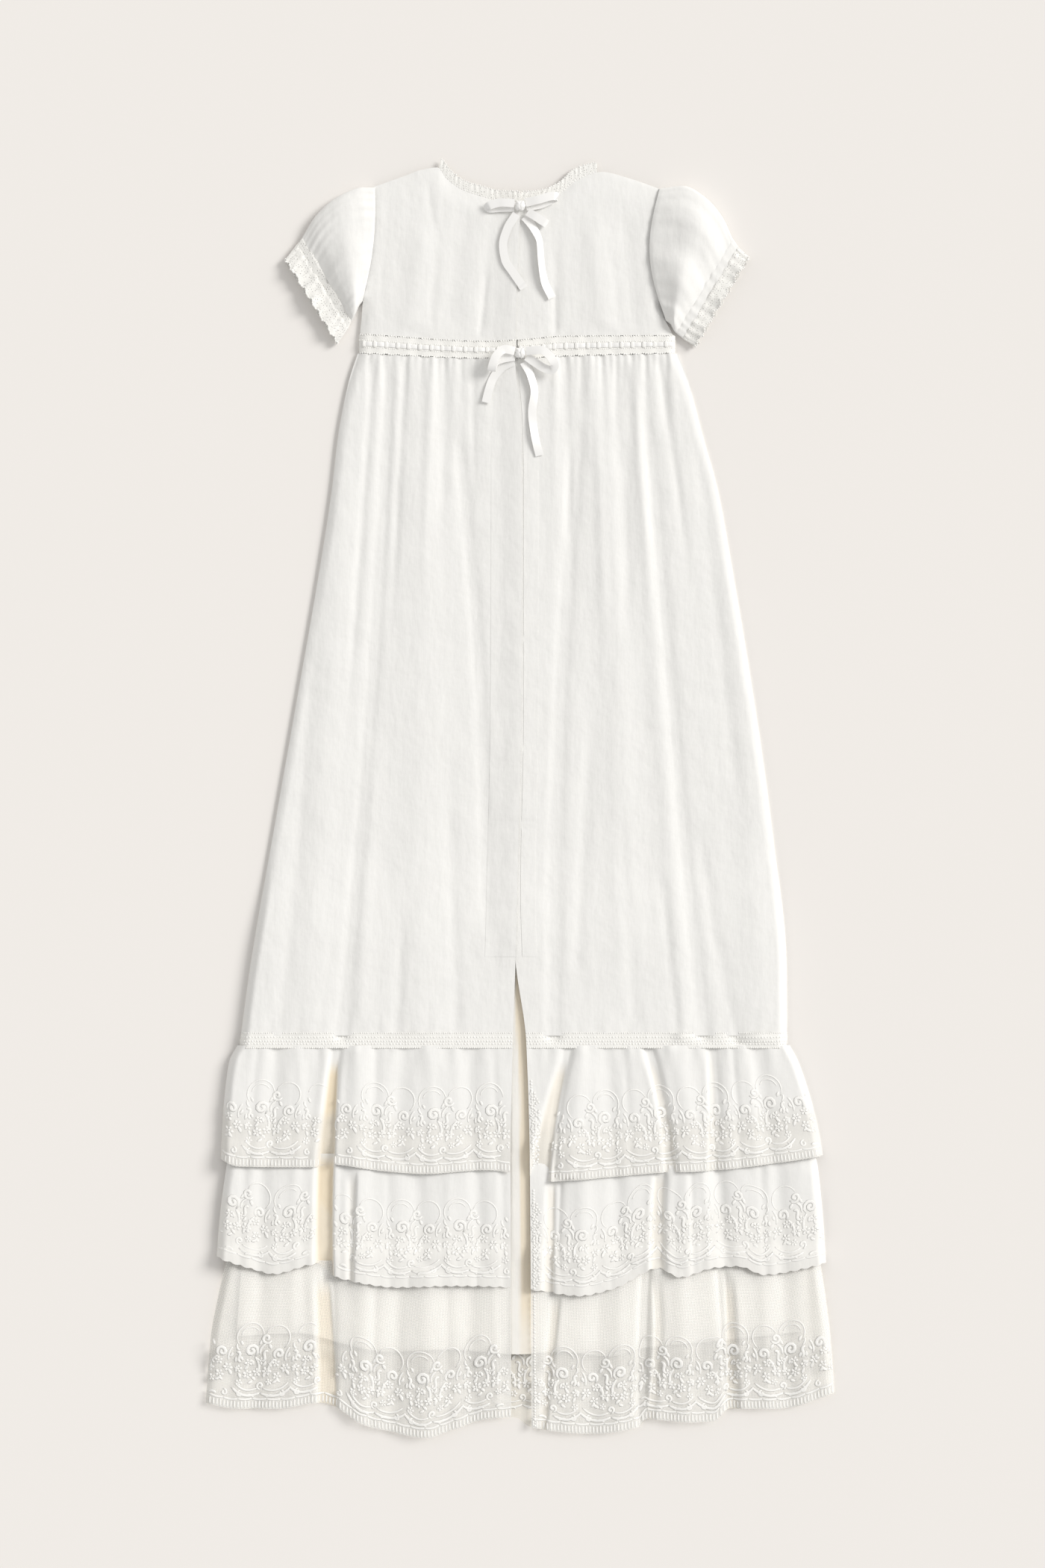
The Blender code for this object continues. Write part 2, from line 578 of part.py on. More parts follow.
def build_front_tier(number):
    places = np.linspace(0.0, 1.0, 19)
    top = TIER_TOPS[number]
    shares = np.array(((0.0, 0.5, 1.0), (0.0, 0.25, 0.34, 1.0), (0.0, 0.22, 0.30, 1.0))[number])
    hem_x = TIER_HEMS[number]
    left_end, right_end = hem_x[0][0], hem_x[-1][0]
    across = left_end + (right_end - left_end) * places
    hem = curve(across, column(hem_x, 0), column(hem_x, 1)) + (2.5 if number < 2 else -1.0)
    yy = top + (hem[None, :] - top) * shares[:, None]
    left, right = sides(TIER_SIDES[number], yy)
    x = left + (right - left) * places[None, :]
    rise = np.zeros(yy.shape)
    if number:
        rise = 1.8 * (1.0 - ease((top - yy - 26.7) / 8.1))
    sheet(f"tier_{number + 1}_front", lifted(x, yy, rise), lifted(x, yy, rise + WALL), (COTTON, COTTON, NET)[number])


def build_front_bodice():
    count = 8
    left_side = bodice_side(0, count)
    right_side = bodice_side(1, count)
    top = path(BODICE_LEFT_TOP[::-1] + BODICE_RIGHT_TOP[1:], 17)
    top[:, 1] -= 1.2
    left_side[-1] = top[0]
    right_side[-1] = top[-1]
    along = np.linspace(-125.0, 118.6, 17)
    bottom = np.stack([along, waist_line(along, 1) + SEAM], axis=1)
    left_side[0] = bottom[0]
    right_side[0] = bottom[-1]
    grid = patch(bottom, top, left_side, right_side)
    x, y = grid[..., 0], grid[..., 1]
    sheet("bodice_front", lifted(x, y, 0.0), lifted(x, y, WALL), COTTON)
    along = np.linspace(-125.6, 119.8, 13)
    rows = np.stack([waist_line(along, 1), waist_line(along, 2)])
    x = np.repeat(along[None, :], 2, axis=0)
    sheet("waist_lace_front", lifted(x, rows, 0.0), lifted(x, rows, WALL), LACE)


def patch(bottom, top, left, right):
    """Points of a four-sided panel, blended between its edges. Rows run from the bottom edge to the top one."""
    v = np.linspace(0.0, 1.0, len(left))[:, None, None]
    u = np.linspace(0.0, 1.0, len(bottom))[None, :, None]
    across = left[:, None, :] * (1.0 - u) + right[:, None, :] * u
    up = bottom[None, :, :] * (1.0 - v) + top[None, :, :] * v
    low = bottom[0] * (1.0 - u) + bottom[-1] * u
    high = top[0] * (1.0 - u) + top[-1] * u
    return across + up - (low * (1.0 - v) + high * v)


def bodice_side(side, count):
    """The side seam and armhole of the bodice, just clear of the sleeve's head."""
    seam, sleeve, clear = ((BODICE_LEFT_SEAM, LEFT_SLEEVE, 0.5), (BODICE_RIGHT_SEAM, RIGHT_SLEEVE, -0.5))[side]
    top = np.array(sleeve[0][1:3])
    low = np.array(sleeve[0][3:5])
    way = (low - top) / np.linalg.norm(low - top)
    square = np.array([-way[1], way[0]])
    share = np.linspace(1.0, 0.0, 9)[:, None]
    hole = top + (low - top) * share + square * sleeve[0][7] * np.sin(np.pi * share) + (clear, 0.0)
    return path(np.concatenate([np.array(seam), hole]), count + 1)


def bodice_grid(side, columns, rows):
    """Plan of one half of the back bodice, from the middle out to the side."""
    outer = bodice_side(side, rows)
    top = path((BODICE_LEFT_TOP, BODICE_RIGHT_TOP)[side], columns + 1)
    start = back_edges(np.array([357.3]))[side][0]
    along = np.linspace(start, outer[0, 0], columns + 1)
    bottom = np.stack([along, waist_line(along, 1) + SEAM], axis=1)
    outer[0] = bottom[-1]
    outer[-1] = top[-1]
    inner_y = np.linspace(bottom[0, 1], top[0, 1], rows + 1)
    inner = np.stack([back_edges(inner_y)[side], inner_y], axis=1)
    inner[0] = bottom[0]
    inner[-1] = top[0]
    return patch(bottom, top, inner, outer)


def build_bodice():
    columns, rows = 14, 8
    u = np.linspace(0.0, 1.0, columns + 1)[None, :]
    v = np.linspace(0.0, 1.0, rows + 1)[:, None]
    for side, name in ((0, "left"), (1, "right")):
        grid = bodice_grid(side, columns, rows)
        x, y = grid[..., 0], grid[..., 1]
        z = bodice_height(x, y, u, v)
        if side == 0:
            z = z + overlap_lift(x, y, back_edges(y)[0])
        sheet("bodice_" + name, lifted(x, y, z), lifted(x, y, z + WALL), COTTON)
        build_neck_lace(side, name, grid[-1], z[-1])


def build_neck_lace(side, name, edge, height):
    """Gathered lace along the neck, made from the bodice's own edge and moved just off it."""
    count = 20
    last = (8, 8)[side]
    nodes = np.concatenate([edge[:last + 1], height[:last + 1, None]], axis=1)
    reach = np.concatenate([[0.0], np.cumsum(np.linalg.norm(np.diff(nodes, axis=0), axis=1))])
    at = np.linspace(0.0, reach[-1], count + 1)
    inner = np.stack([np.interp(at, reach, nodes[:, k]) for k in range(3)], axis=1)
    outer = path((NECK_LEFT, NECK_RIGHT)[side], count + 1)
    outer[0, 0] = (-0.3, 0.3)[side]
    way = inner[:, :2] - outer
    way = way / np.linalg.norm(way, axis=1)[:, None]
    start = inner[:, :2] - way * SEAM
    start[0, 0] = (-0.3, 0.3)[side]
    share = np.linspace(0.0, 1.0, 4)[:, None]
    x = start[:, 0] * (1.0 - share) + outer[:, 0] * share
    y = start[:, 1] * (1.0 - share) + outer[:, 1] * share
    wave = 0.7 * np.sin(np.pi * np.arange(count + 1) / 2.0)
    z = inner[:, 2] + share * (wave + 0.9)
    sheet("neck_lace_" + name, lifted(x, y, z), lifted(x, y, z + THIN_WALL), LACE)


def build_waist():
    """The beading round the waist, and the ribbon that runs through it."""
    for side, name, ends in ((0, "left", (-3.2, -125.6)), (1, "right", (-2.4, 120.3))):
        count = 24
        along = np.linspace(ends[0], ends[1], count + 1)
        top = waist_line(along, 1)
        bottom = waist_line(along, 2)
        share = np.array([0.0, 0.30, 0.70, 1.0])[:, None]
        yy = top + (bottom - top) * share
        x = np.repeat(along[None, :], 4, axis=0)
        left, right = -125.6, 120.3
        edge = roll(x, left, right)
        ripple = 0.25 * np.sin(np.pi * np.arange(count + 1) / 2.0)[None, :]
        z = REST_LIFT + edge * (BODY_PUFF + 0.5 + ripple)
        if side == 0:
            z = z + overlap_lift(x, yy, along[0])
        upper = lifted(x, yy, z + WALL)
        sheet("waist_lace_" + name, lifted(x, yy, z), upper, LACE)
        strip = upper[1:3, 1:-1] + (0.0, 0.0, 0.35)
        bump = 0.3 * (1.0 - np.cos(np.pi * np.arange(strip.shape[1]) / 2.0))
        raised = strip + lifted(0.0, 0.0, 0.6 + bump)[None, :]
        sheet("waist_ribbon_" + name, strip, raised, SATIN, 0.35)


def build_lower():
    """The lace band, the three tiers and the underskirt of the back."""
    marks = 30
    for side, name in ((0, "left"), (1, "right")):
        places = np.linspace(0.0, 1.0, marks + 1)
        y = np.array([-182.5, -192.2])
        outer = sides(SKIRT_SIDES, y)[side]
        inner = back_edges(y)[side]
        x = inner[:, None] + (outer - inner)[:, None] * places[None, :]
        yy = np.repeat(y[:, None], marks + 1, axis=1)
        z = skirt_height(x, yy, 0.0)
        sheet("lace_band_" + name, lifted(x, yy, z), lifted(x, yy, z + WALL), LACE)
        for number in range(3):
            build_tier(number, side, name)
        build_underskirt(side, name)
    places = np.linspace(0.0, 1.0, 11)
    plan = under_plan(0, 1, places, 6)
    sheet("underskirt_front", lifted(plan[0], plan[1], UNDER_FRONT), lifted(plan[0], plan[1], UNDER_FRONT + WALL), COTTON)


def tier_columns(number, side, hem_y):
    """Places of a tier's columns, close together where a deep fold runs."""
    outer = sides(TIER_SIDES[number], hem_y)[side]
    inner = back_edges(hem_y)[side]
    places = list(np.linspace(0.0, 1.0, 19))
    for row in TIER_FOLDS[number]:
        if row[5] > -2.5:
            continue
        centre = (0.5 * (row[3] + row[4]) - inner) / (outer - inner)
        for offset in (-1.5, -0.75, 0.0, 0.75, 1.5):
            place = centre + offset * row[6] / abs(outer - inner)
            if 0.02 < place < 0.98:
                places = [p for p in places if abs(p - place) > 0.012 or p in (0.0, 1.0)]
                places.append(place)
    return np.array(sorted(places))


def build_tier(number, side, name):
    hem_rows = TIER_HEMS[number]
    top = TIER_TOPS[number]
    middle = 0.5 * (top + hem_rows[5][1])
    places = tier_columns(number, side, np.float64(middle))
    outer = sides(TIER_SIDES[number], np.array([hem_rows[5][1]]))[side][0]
    inner = back_edges(np.array([hem_rows[5][1]]))[side][0]
    across = inner + (outer - inner) * places
    hem = curve(across, column(hem_rows, 0), column(hem_rows, 1))
    shares = np.array(TIER_ROWS[number])
    yy = top + (hem[None, :] - top) * shares[:, None]
    outers = sides(TIER_SIDES[number], yy)[side]
    inners = back_edges(yy)[side]
    x = inners + (outers - inners) * places[None, :]
    z = tier_height(x, yy, number)
    sheet(f"tier_{number + 1}_{name}", lifted(x, yy, z), lifted(x, yy, z + WALL), (COTTON, COTTON, NET)[number])


def under_plan(first, last, places, rows):
    """Plan of a panel of the underskirt, which hangs just inside the skirt's sides."""
    top = -126.4
    shares = np.linspace(0.0, 1.0, rows)
    yy = np.repeat(shares[:, None], len(places), axis=1) * 0.0
    x = yy.copy()
    guess = np.linspace(-230.5, 228.2, len(places))
    if first == last:
        end = (-230.5, 228.2)[first]
        start = back_edges(np.array([-424.6]))[first][0]
        guess = start + (end - start) * places
    hem = curve(guess, column(UNDER_HEM, 0), column(UNDER_HEM, 1))
    yy = top + (hem[None, :] - top) * shares[:, None]
    share = (top - yy) / (top - -424.6)
    left = -200.4 + (-221.3 - -200.4) * share
    right = 195.2 + (223.0 - 195.2) * share
    if first == last:
        inner = back_edges(yy)[first]
        outer = (left, right)[first]
        x = inner + (outer - inner) * places[None, :]
    else:
        x = left + (right - left) * places[None, :]
    return x, yy


def build_underskirt(side, name):
    places = np.linspace(0.0, 1.0, 9)
    x, y = under_plan(side, side, places, 6)
    sheet("underskirt_" + name, lifted(x, y, UNDER_BACK), lifted(x, y, UNDER_BACK + WALL), COTTON)


def sleeve_rings(rows, count, around, folds_around, twist):
    """Rings of a puffed sleeve, flat beneath and full on top."""
    s = np.linspace(0.0, 1.0, count + 1)
    places = column(rows, 0)
    top = np.stack([curve(s, places, column(rows, 1)), curve(s, places, column(rows, 2))], axis=1)
    low = np.stack([curve(s, places, column(rows, 3)), curve(s, places, column(rows, 4))], axis=1)
    height, gather, bow = (curve(s, places, column(rows, k))[:, None] for k in (5, 6, 7))
    angle = 2.0 * np.pi * np.arange(around)[None, :] / around
    rise = np.sin(angle)
    length = np.linalg.norm(low - top, axis=1)[:, None]
    way = ((low - top) / length)[:, None, :]
    square = np.stack([-way[..., 1], way[..., 0]], axis=-1)
    share = (1.0 - np.cos(angle)) / 2.0
    middle = np.minimum(3.6, 0.45 * height)
    wave = gather * np.cos(folds_around * angle + twist * s[:, None]) * np.abs(rise)
    up = middle + (height - middle) * np.abs(rise) ** 0.8 + wave
    down = middle * (1.0 - np.abs(rise) ** 0.45)
    z = np.where(rise >= 0.0, up, down)
    plan = top[:, None, :] + (share * length)[..., None] * way + (bow * np.sin(np.pi * share))[..., None] * square
    return lifted(plan[..., 0], plan[..., 1], z)


def build_sleeves():
    pieces = (
        ("sleeve_left", LEFT_SLEEVE, 6, 28, 7, 0.8, COTTON),
        ("sleeve_left_lace", LEFT_CUFF_LACE, 1, 24, 6, 0.0, LACE),
        ("sleeve_left_frill", LEFT_FRILL, 2, 32, 8, 0.0, LACE),
        ("sleeve_right", RIGHT_SLEEVE, 6, 28, 7, -0.9, COTTON),
        ("sleeve_right_casing", RIGHT_CASING, 1, 24, 6, 0.0, COTTON),
        ("sleeve_right_frill", RIGHT_FRILL, 2, 32, 8, 0.0, LACE),
    )
    for name, rows, count, around, waves, twist, colour in pieces:
        rings = sleeve_rings(rows, count, around, waves, twist)
        walled(name, grid_surface(name, rings, around=True), WALL, colour)


def ribbon(name, rows, count, base):
    """A flat satin ribbon swept along its path over the cloth. Its width stays as level as the turns of its path let it."""
    line = path([(x, y, z, turn) for x, y, z, turn in rows], count + 1)
    middle = line[:, :3].copy()
    middle[:, 2] += base(middle[:, 0], middle[:, 1])
    way = np.gradient(middle, axis=0)
    way = way / np.linalg.norm(way, axis=1)[:, None]
    flat = np.cross(way, (0.0, 0.0, 1.0))
    level = flat.copy()
    for i in range(1, len(level)):
        carried = level[i - 1] - way[i] * np.dot(level[i - 1], way[i])
        level[i] = carried + flat[i] * np.sign(np.dot(flat[i], carried))
        level[i] = level[i] / np.linalg.norm(level[i])
    level[0] = level[0] / np.linalg.norm(level[0])
    up = np.cross(level, way)
    turn = np.radians(line[:, 3])[:, None]
    wide = level * np.cos(turn) + up * np.sin(turn)
    half = 0.5 * RIBBON * wide
    strip = np.stack([middle - half, middle + half], axis=1)
    return walled(name, grid_surface(name, strip), RIBBON_THICK, SATIN, 0.35, side=0.0)


def knot(name, x, y, low, size):
    """A tied knot as a flattened ball."""
    mesh = bpy.data.meshes.new(name)
    shape = bmesh.new()
    bmesh.ops.create_uvsphere(shape, u_segments=12, v_segments=6, radius=0.5)
    bmesh.ops.scale(shape, vec=Vector(size) * MM, verts=shape.verts[:])
    centre = Vector((x, y, low + 0.5 * size[2])) - Vector(MIDDLE)
    bmesh.ops.translate(shape, vec=centre * MM, verts=shape.verts[:])
    shape.to_mesh(mesh)
    shape.free()
    return add_object(name, mesh, SATIN, 0.35)


def neck_top(x, y):
    return np.full(np.shape(x), REST_LIFT + BODY_PUFF + WALL + 0.8) + 1.9 * ease(1.0 - (0.3 - x) / 19.7) * (x < 0.9)


def waist_top(x, y):
    return np.full(np.shape(x), REST_LIFT + BODY_PUFF + WALL + 1.0 + 2.2)


def skirt_top(x, y):
    """Top of the back of the skirt, lap and all."""
    middle = back_edges(y)[0]
    return skirt_height(x, y, 0.0) + np.where(x < middle, overlap_lift(x, y, middle), 0.0) + WALL


def build_bows():
    knot("neck_bow_knot", -0.3, 459.4, 8.2, (7.5, 7.5, 5.0))
    ribbon("neck_bow_loop_left", NECK_LOOP_LEFT, 14, neck_top)
    ribbon("neck_bow_loop_right", NECK_LOOP_RIGHT, 14, neck_top)
    ribbon("neck_bow_loop_short", NECK_LOOP_SHORT, 20, neck_top)
    ribbon("neck_tail_left", NECK_TAIL_LEFT, 14, neck_top)
    ribbon("neck_tail_right", NECK_TAIL_RIGHT, 14, neck_top)
    knot("waist_bow_knot", -0.3, 345.1, 7.6, (8.1, 8.1, 6.6))
    ribbon("waist_bow_loop_left", WAIST_LOOP_LEFT, 26, waist_top)
    ribbon("waist_bow_loop_right", WAIST_LOOP_RIGHT, 20, waist_top)
    ribbon("waist_tail_left", WAIST_TAIL_LEFT, 12, skirt_top)
    ribbon("waist_tail_right", WAIST_TAIL_RIGHT, 18, skirt_top)


clear_scene()
GOWN = bpy.data.collections.new("christening_gown")
bpy.context.scene.collection.children.link(GOWN)
build_front()
build_bodice()
build_waist()
build_sleeves()
build_skirt()
build_lower()
build_bows()
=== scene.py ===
"""The looks of a baby's christening gown, laid flat on its front so that its back and its ties show.

Lengths are in millimetres until a mesh is made. X runs across the gown, Y runs from the hem up to the neck
and Z stands up from the surface that it rests on. A tier is a gathered flounce, a valley is a fold that dips,
and a ridge is one that stands up. Each piece follows the form of the solid that it stands for.
"""

import bpy
import numpy as np
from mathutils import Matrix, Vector


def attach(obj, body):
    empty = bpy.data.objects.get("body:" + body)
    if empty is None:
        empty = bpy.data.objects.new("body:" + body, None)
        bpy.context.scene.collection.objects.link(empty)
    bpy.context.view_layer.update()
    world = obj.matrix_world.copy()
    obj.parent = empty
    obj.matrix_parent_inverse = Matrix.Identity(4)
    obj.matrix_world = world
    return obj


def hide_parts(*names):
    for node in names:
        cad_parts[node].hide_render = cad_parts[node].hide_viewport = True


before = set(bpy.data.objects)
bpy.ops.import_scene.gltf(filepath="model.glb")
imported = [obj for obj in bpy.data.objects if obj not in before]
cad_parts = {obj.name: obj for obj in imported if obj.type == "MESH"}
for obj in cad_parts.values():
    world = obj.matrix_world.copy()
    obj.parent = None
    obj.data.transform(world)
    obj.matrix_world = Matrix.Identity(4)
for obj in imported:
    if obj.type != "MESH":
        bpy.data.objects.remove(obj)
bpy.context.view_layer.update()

bl_info = {
    "name": "Christening gown",
    "version": (1, 0, 0),
    "blender": (4, 5, 0),
    "location": "View3D > Sidebar > Gown",
    "description": "Builds the cloth, lace, embroidery and ribbons of a christening gown",
    "category": "Object",
}

# One millimetre in metres, and the middle of the gown's outline, about which the meshes are set.
MM = 0.001
MIDDLE = np.array((-0.29, -0.21, 0.0))

# Thickness of the solids' cloth, and what is left free at a seam.
WALL = 1.2
SEAM = 0.4

# Heights of the layers: the sides of the back, the two layers of the underskirt, and the back above them
# both. The skirt rises from the first height to the last between two places down its length.
REST_LIFT = 1.8
UNDER_FRONT = 3.3
UNDER_BACK = 4.9
OUTER_BACK = 6.6
RISE_FROM = -36.0
RISE_TO = -117.2

# How far in from a side seam the cloth has rolled over, how high it puffs up, and the least that it may.
SIDE_ROLL = 7.5
BODY_PUFF = 2.6
LEAST_PUFF = 0.15

# The lap of the left half over the right: its reach and height, where it stops, and over what length it
# fades.
LAP_REACH = 19.7
LAP_LIFT = 1.9
LAP_STOP = -116.0
LAP_FADE = 34.8

# The bands that edge the opening of the back, and how far down they and the skirt run.
LEFT_PLACKET = 23.8
RIGHT_PLACKET = 16.8
PLACKET_RUN = (340.5, -123.5)
PLACKET_COLUMNS = 14
SKIRT_RUN = (342.2, -185.0)
WAIST_EASED = 294.6

# How a tier falls: the depth over which it swells below its seam, where it starts to ride up on the next tier
# and over what depth, how high it rides, and the step, drop and fade of its sides in the back and the front.
TIER_SWELL = 13.9
RIDE_ABOVE = 15.1
RIDE_DEPTH = 12.8
RIDE_LIFT = 2.6
LAYER_STEP = 1.8
BACK_DROP = (58.0, 17.4)
FRONT_DROP = (26.7, 8.1)

# The underskirt: its top, how low its sides are measured and where they stand there and at the top, and how
# the lowest tier sinks below it.
UNDER_TOP = -126.4
UNDER_LOW = -424.6
UNDER_ENDS = (-230.5, 228.2)
UNDER_SIDES = ((-200.4, -221.3), (195.2, 223.0))
UNDER_STACK = OUTER_BACK - REST_LIFT - 0.4
NET_SINK = 27.8
GAP_SINK = (-428.0, 11.6)

# The camera looks straight down: its height, its film, and the length and middle of what it frames.
CAMERA_HEIGHT = 3000.0
CAMERA_RAISED = 8.0
FILM = 36.0
VIEW_TALL = 1218.0
VIEW_MIDDLE = (1.74, 10.65)

# The one lamp, broad and far away: where it shines from, its width in degrees, its strength and its colour.
LAMP_FROM = (1.0, 0.5, 0.74)
LAMP_WIDTH = 23.0
LAMP_POWER = 2.15
LAMP_COLOUR = (1.0, 0.985, 0.965)
WORLD_LIGHT = 0.60
WORLD_COLOUR = (1.0, 0.99, 0.975, 1.0)
FLOOR_HALF = 14000.0

# The ribbon: its width with its soft edges, and its wall.
RIBBON_WIDTH = 6.5
RIBBON_WALL = 0.35

# The embroidery: its repeat, the height of its cords on each tier, how much fuller than drawn they are, and
# the steps of a cord and of a leaf. Then what share of the first repeat is cut off on each tier, and from how
# deep a fold a line is left out, in the belt and in the border.
MOTIF = 45.0
RELIEF = (0.42, 0.34, 0.46)
FULLER = 1.25
STEPS = 14
LEAF_STEPS = 5
MOTIF_START = (0.35, 0.8, 0.15)
DEEP = 0.6
BORDER_DEEP = 0.9

# Edges of the tiers and of the beading: pitch of the ribs and bars, and depth and pitch of each hem's teeth.
RIB_PITCH = 2.75
BAR_PITCH = 8.7
HEM_TOOTH = (0.5, 1.1, 0.5)
TOOTH_PITCH = (2.75, 8.4, 2.75)

# Deep gaps: how much of their depth is used, how high their lips stand, and the reach of their two slopes.
GAP_DEPTH = 0.95
LIP_SHARE = 0.4
LIP_WIDTH = 3.4
STEEP = 1.6
GENTLE = 5.0

# How much of the solids' folds is eased out of the skirt, and how much of the soft folds the tiers keep.
FOLD_EASE = 0.6
DEEPEST_EASE = -2.45
TIER_EASE = 0.6

# Form of a sleeve: how full it is, how flat on top, and how high its tucked end is beside the ring before.
SLEEVE_PUFF = 0.82
SLEEVE_FLATNESS = 0.52
HEAD_TUCK = 0.93

# Knots of the two bows: name, place, height of the underside, size.
KNOTS = (
    ("neck_bow_knot", (-0.3, 459.4), 8.2, (7.5, 7.5, 5.0)),
    ("waist_bow_knot", (-0.3, 345.1), 7.6, (8.1, 8.1, 6.6)),
)

# Soft folds over the skirt's main ones, in the same columns.
SOFT_FOLDS = (
    (342.2, 39.4, -114.5, -125.0, -136.6, -0.9, 3.4, 0.02, 0.40),
    (342.2, 97.4, -90.8, -96.0, -102.9, -1.1, 3.2, 0.02, 0.50),
    (342.2, 143.8, -71.0, -72.8, -75.1, 1.0, 4.0, 0.02, 0.55),
    (342.2, 213.4, -38.0, -36.8, -35.7, -0.9, 3.0, 0.02, 0.55),
    (342.2, 143.8, 36.2, 37.4, 38.6, -0.9, 3.2, 0.02, 0.50),
    (342.2, 62.6, 58.3, 62.9, 66.4, 1.0, 4.2, 0.02, 0.50),
    (342.2, 120.6, 86.1, 95.4, 102.4, 0.9, 3.6, 0.02, 0.45),
    (342.2, 155.4, 107.0, 120.9, 132.5, -1.0, 3.4, 0.02, 0.45),
    (97.4, -182.7, -114.5, -120.3, -123.8, 0.8, 7.0, 0.35, 0.05),
    (39.4, -182.7, -56.5, -53.1, -49.6, -0.8, 5.0, 0.35, 0.05),
    (10.4, -182.7, 76.8, 82.6, 89.6, -0.8, 5.0, 0.35, 0.05),
    (-47.6, -182.7, 108.7, 115.1, 122.1, -0.9, 4.0, 0.35, 0.03),
    (-76.6, -182.7, -91.3, -93.7, -96.0, -0.9, 4.0, 0.40, 0.03),
)

# Creases across each placket: first x, last x, y at the start, middle and end, height, half width, fades.
CROSS_CREASES = (
    (
        (-24.6, 1.4, 69.6, 68.4, 69.0, -0.5, 1.6, 0.1, 0.1),
        (-24.6, 1.4, 23.8, 24.9, 22.6, -0.6, 1.5, 0.1, 0.1),
        (-24.6, 1.4, -4.1, -5.8, -5.2, 0.4, 1.8, 0.1, 0.1),
        (-24.6, 1.4, -20.3, -21.5, -19.7, -0.6, 1.6, 0.1, 0.1),
        (-24.6, 1.4, -85.8, -84.7, -86.4, -0.5, 1.5, 0.1, 0.1),
    ),
    (
        (-1.4, 18.8, 123.0, 121.8, 123.5, -0.5, 1.5, 0.1, 0.1),
        (-1.4, 18.8, 38.9, 40.0, 38.3, -0.5, 1.6, 0.1, 0.1),
        (-1.4, 18.8, -20.3, -20.9, -19.1, -0.6, 1.5, 0.1, 0.1),
    ),
)

# Fine creases of the back bodice, in the folds' columns.
BODICE_CREASES = (
    (482.6, 428.0, -72.8, -69.3, -62.3, -0.5, 2.5, 0.15, 0.5),
    (474.4, 360.8, -102.9, -106.4, -111.1, -0.6, 4.0, 0.2, 0.3),
    (445.4, 359.6, -65.2, -67.0, -70.5, -0.4, 3.0, 0.3, 0.15),
    (410.6, 358.4, -26.4, -28.7, -32.2, -0.6, 1.4, 0.2, 0.02),
    (399.0, 358.4, 26.4, 27.0, 27.0, -0.6, 1.4, 0.2, 0.02),
    (428.0, 359.6, 71.0, 74.5, 78.0, -0.5, 3.4, 0.3, 0.15),
    (468.6, 360.8, 98.9, 102.4, 105.8, -0.6, 3.6, 0.2, 0.3),
)

# The two y's between which all folds of a tier run, and its soft folds, in the other columns of a fold.
TIER_RUN = ((-190.2, -297.0), (-276.7, -389.8), (-359.6, -500.0))
SOFT_TIER_FOLDS = (
    (
        (-204.4, -208.5, -213.1, -1.0, 3.4, 0.05, 0.1),
        (-169.6, -171.4, -172.5, 1.0, 4.4, 0.05, 0.02),
        (-111.6, -113.4, -114.5, -1.1, 3.6, 0.05, 0.1),
        (-71.0, -69.3, -67.0, 1.2, 5.0, 0.05, 0.02),
        (-20.6, -19.4, -17.1, -1.1, 3.4, 0.05, 0.02),
        (79.8, 83.8, 86.1, -1.0, 3.4, 0.05, 0.02),
        (163.8, 168.5, 170.8, -1.4, 3.0, 0.05, 0.1),
        (175.4, 180.1, 182.4, 1.0, 4.0, 0.05, 0.02),
    ),
    (
        (-213.1, -216.6, -218.9, -1.0, 3.8, 0.05, 0.1),
        (-175.4, -174.9, -173.7, 1.0, 4.4, 0.05, 0.02),
        (-102.9, -101.8, -100.6, -1.0, 3.6, 0.05, 0.1),
        (-56.5, -55.4, -53.1, 1.0, 5.0, 0.05, 0.02),
        (-14.8, -13.6, -12.5, -1.0, 3.4, 0.05, 0.02),
        (131.9, 133.7, 134.8, -1.6, 2.8, 0.05, 0.02),
        (140.6, 144.1, 146.4, 1.2, 3.4, 0.05, 0.02),
        (185.9, 189.4, 190.5, -1.2, 3.4, 0.05, 0.1),
    ),
    (
        (-217.8, -223.6, -228.2, -1.0, 4.0, 0.05, 0.1),
        (-176.0, -177.2, -178.3, 1.2, 5.0, 0.05, 0.02),
        (-111.6, -114.5, -116.9, -1.2, 3.8, 0.05, 0.1),
        (-56.5, -56.5, -55.4, -1.0, 4.2, 0.05, 0.02),
        (-21.8, -19.4, -17.1, 1.2, 4.0, 0.05, 0.02),
        (76.8, 76.8, 75.7, 1.2, 5.0, 0.05, 0.02),
        (187.0, 190.5, 192.8, 1.2, 5.0, 0.05, 0.02),
        (221.8, 226.5, 231.1, -1.2, 4.4, 0.05, 0.02),
    ),
)

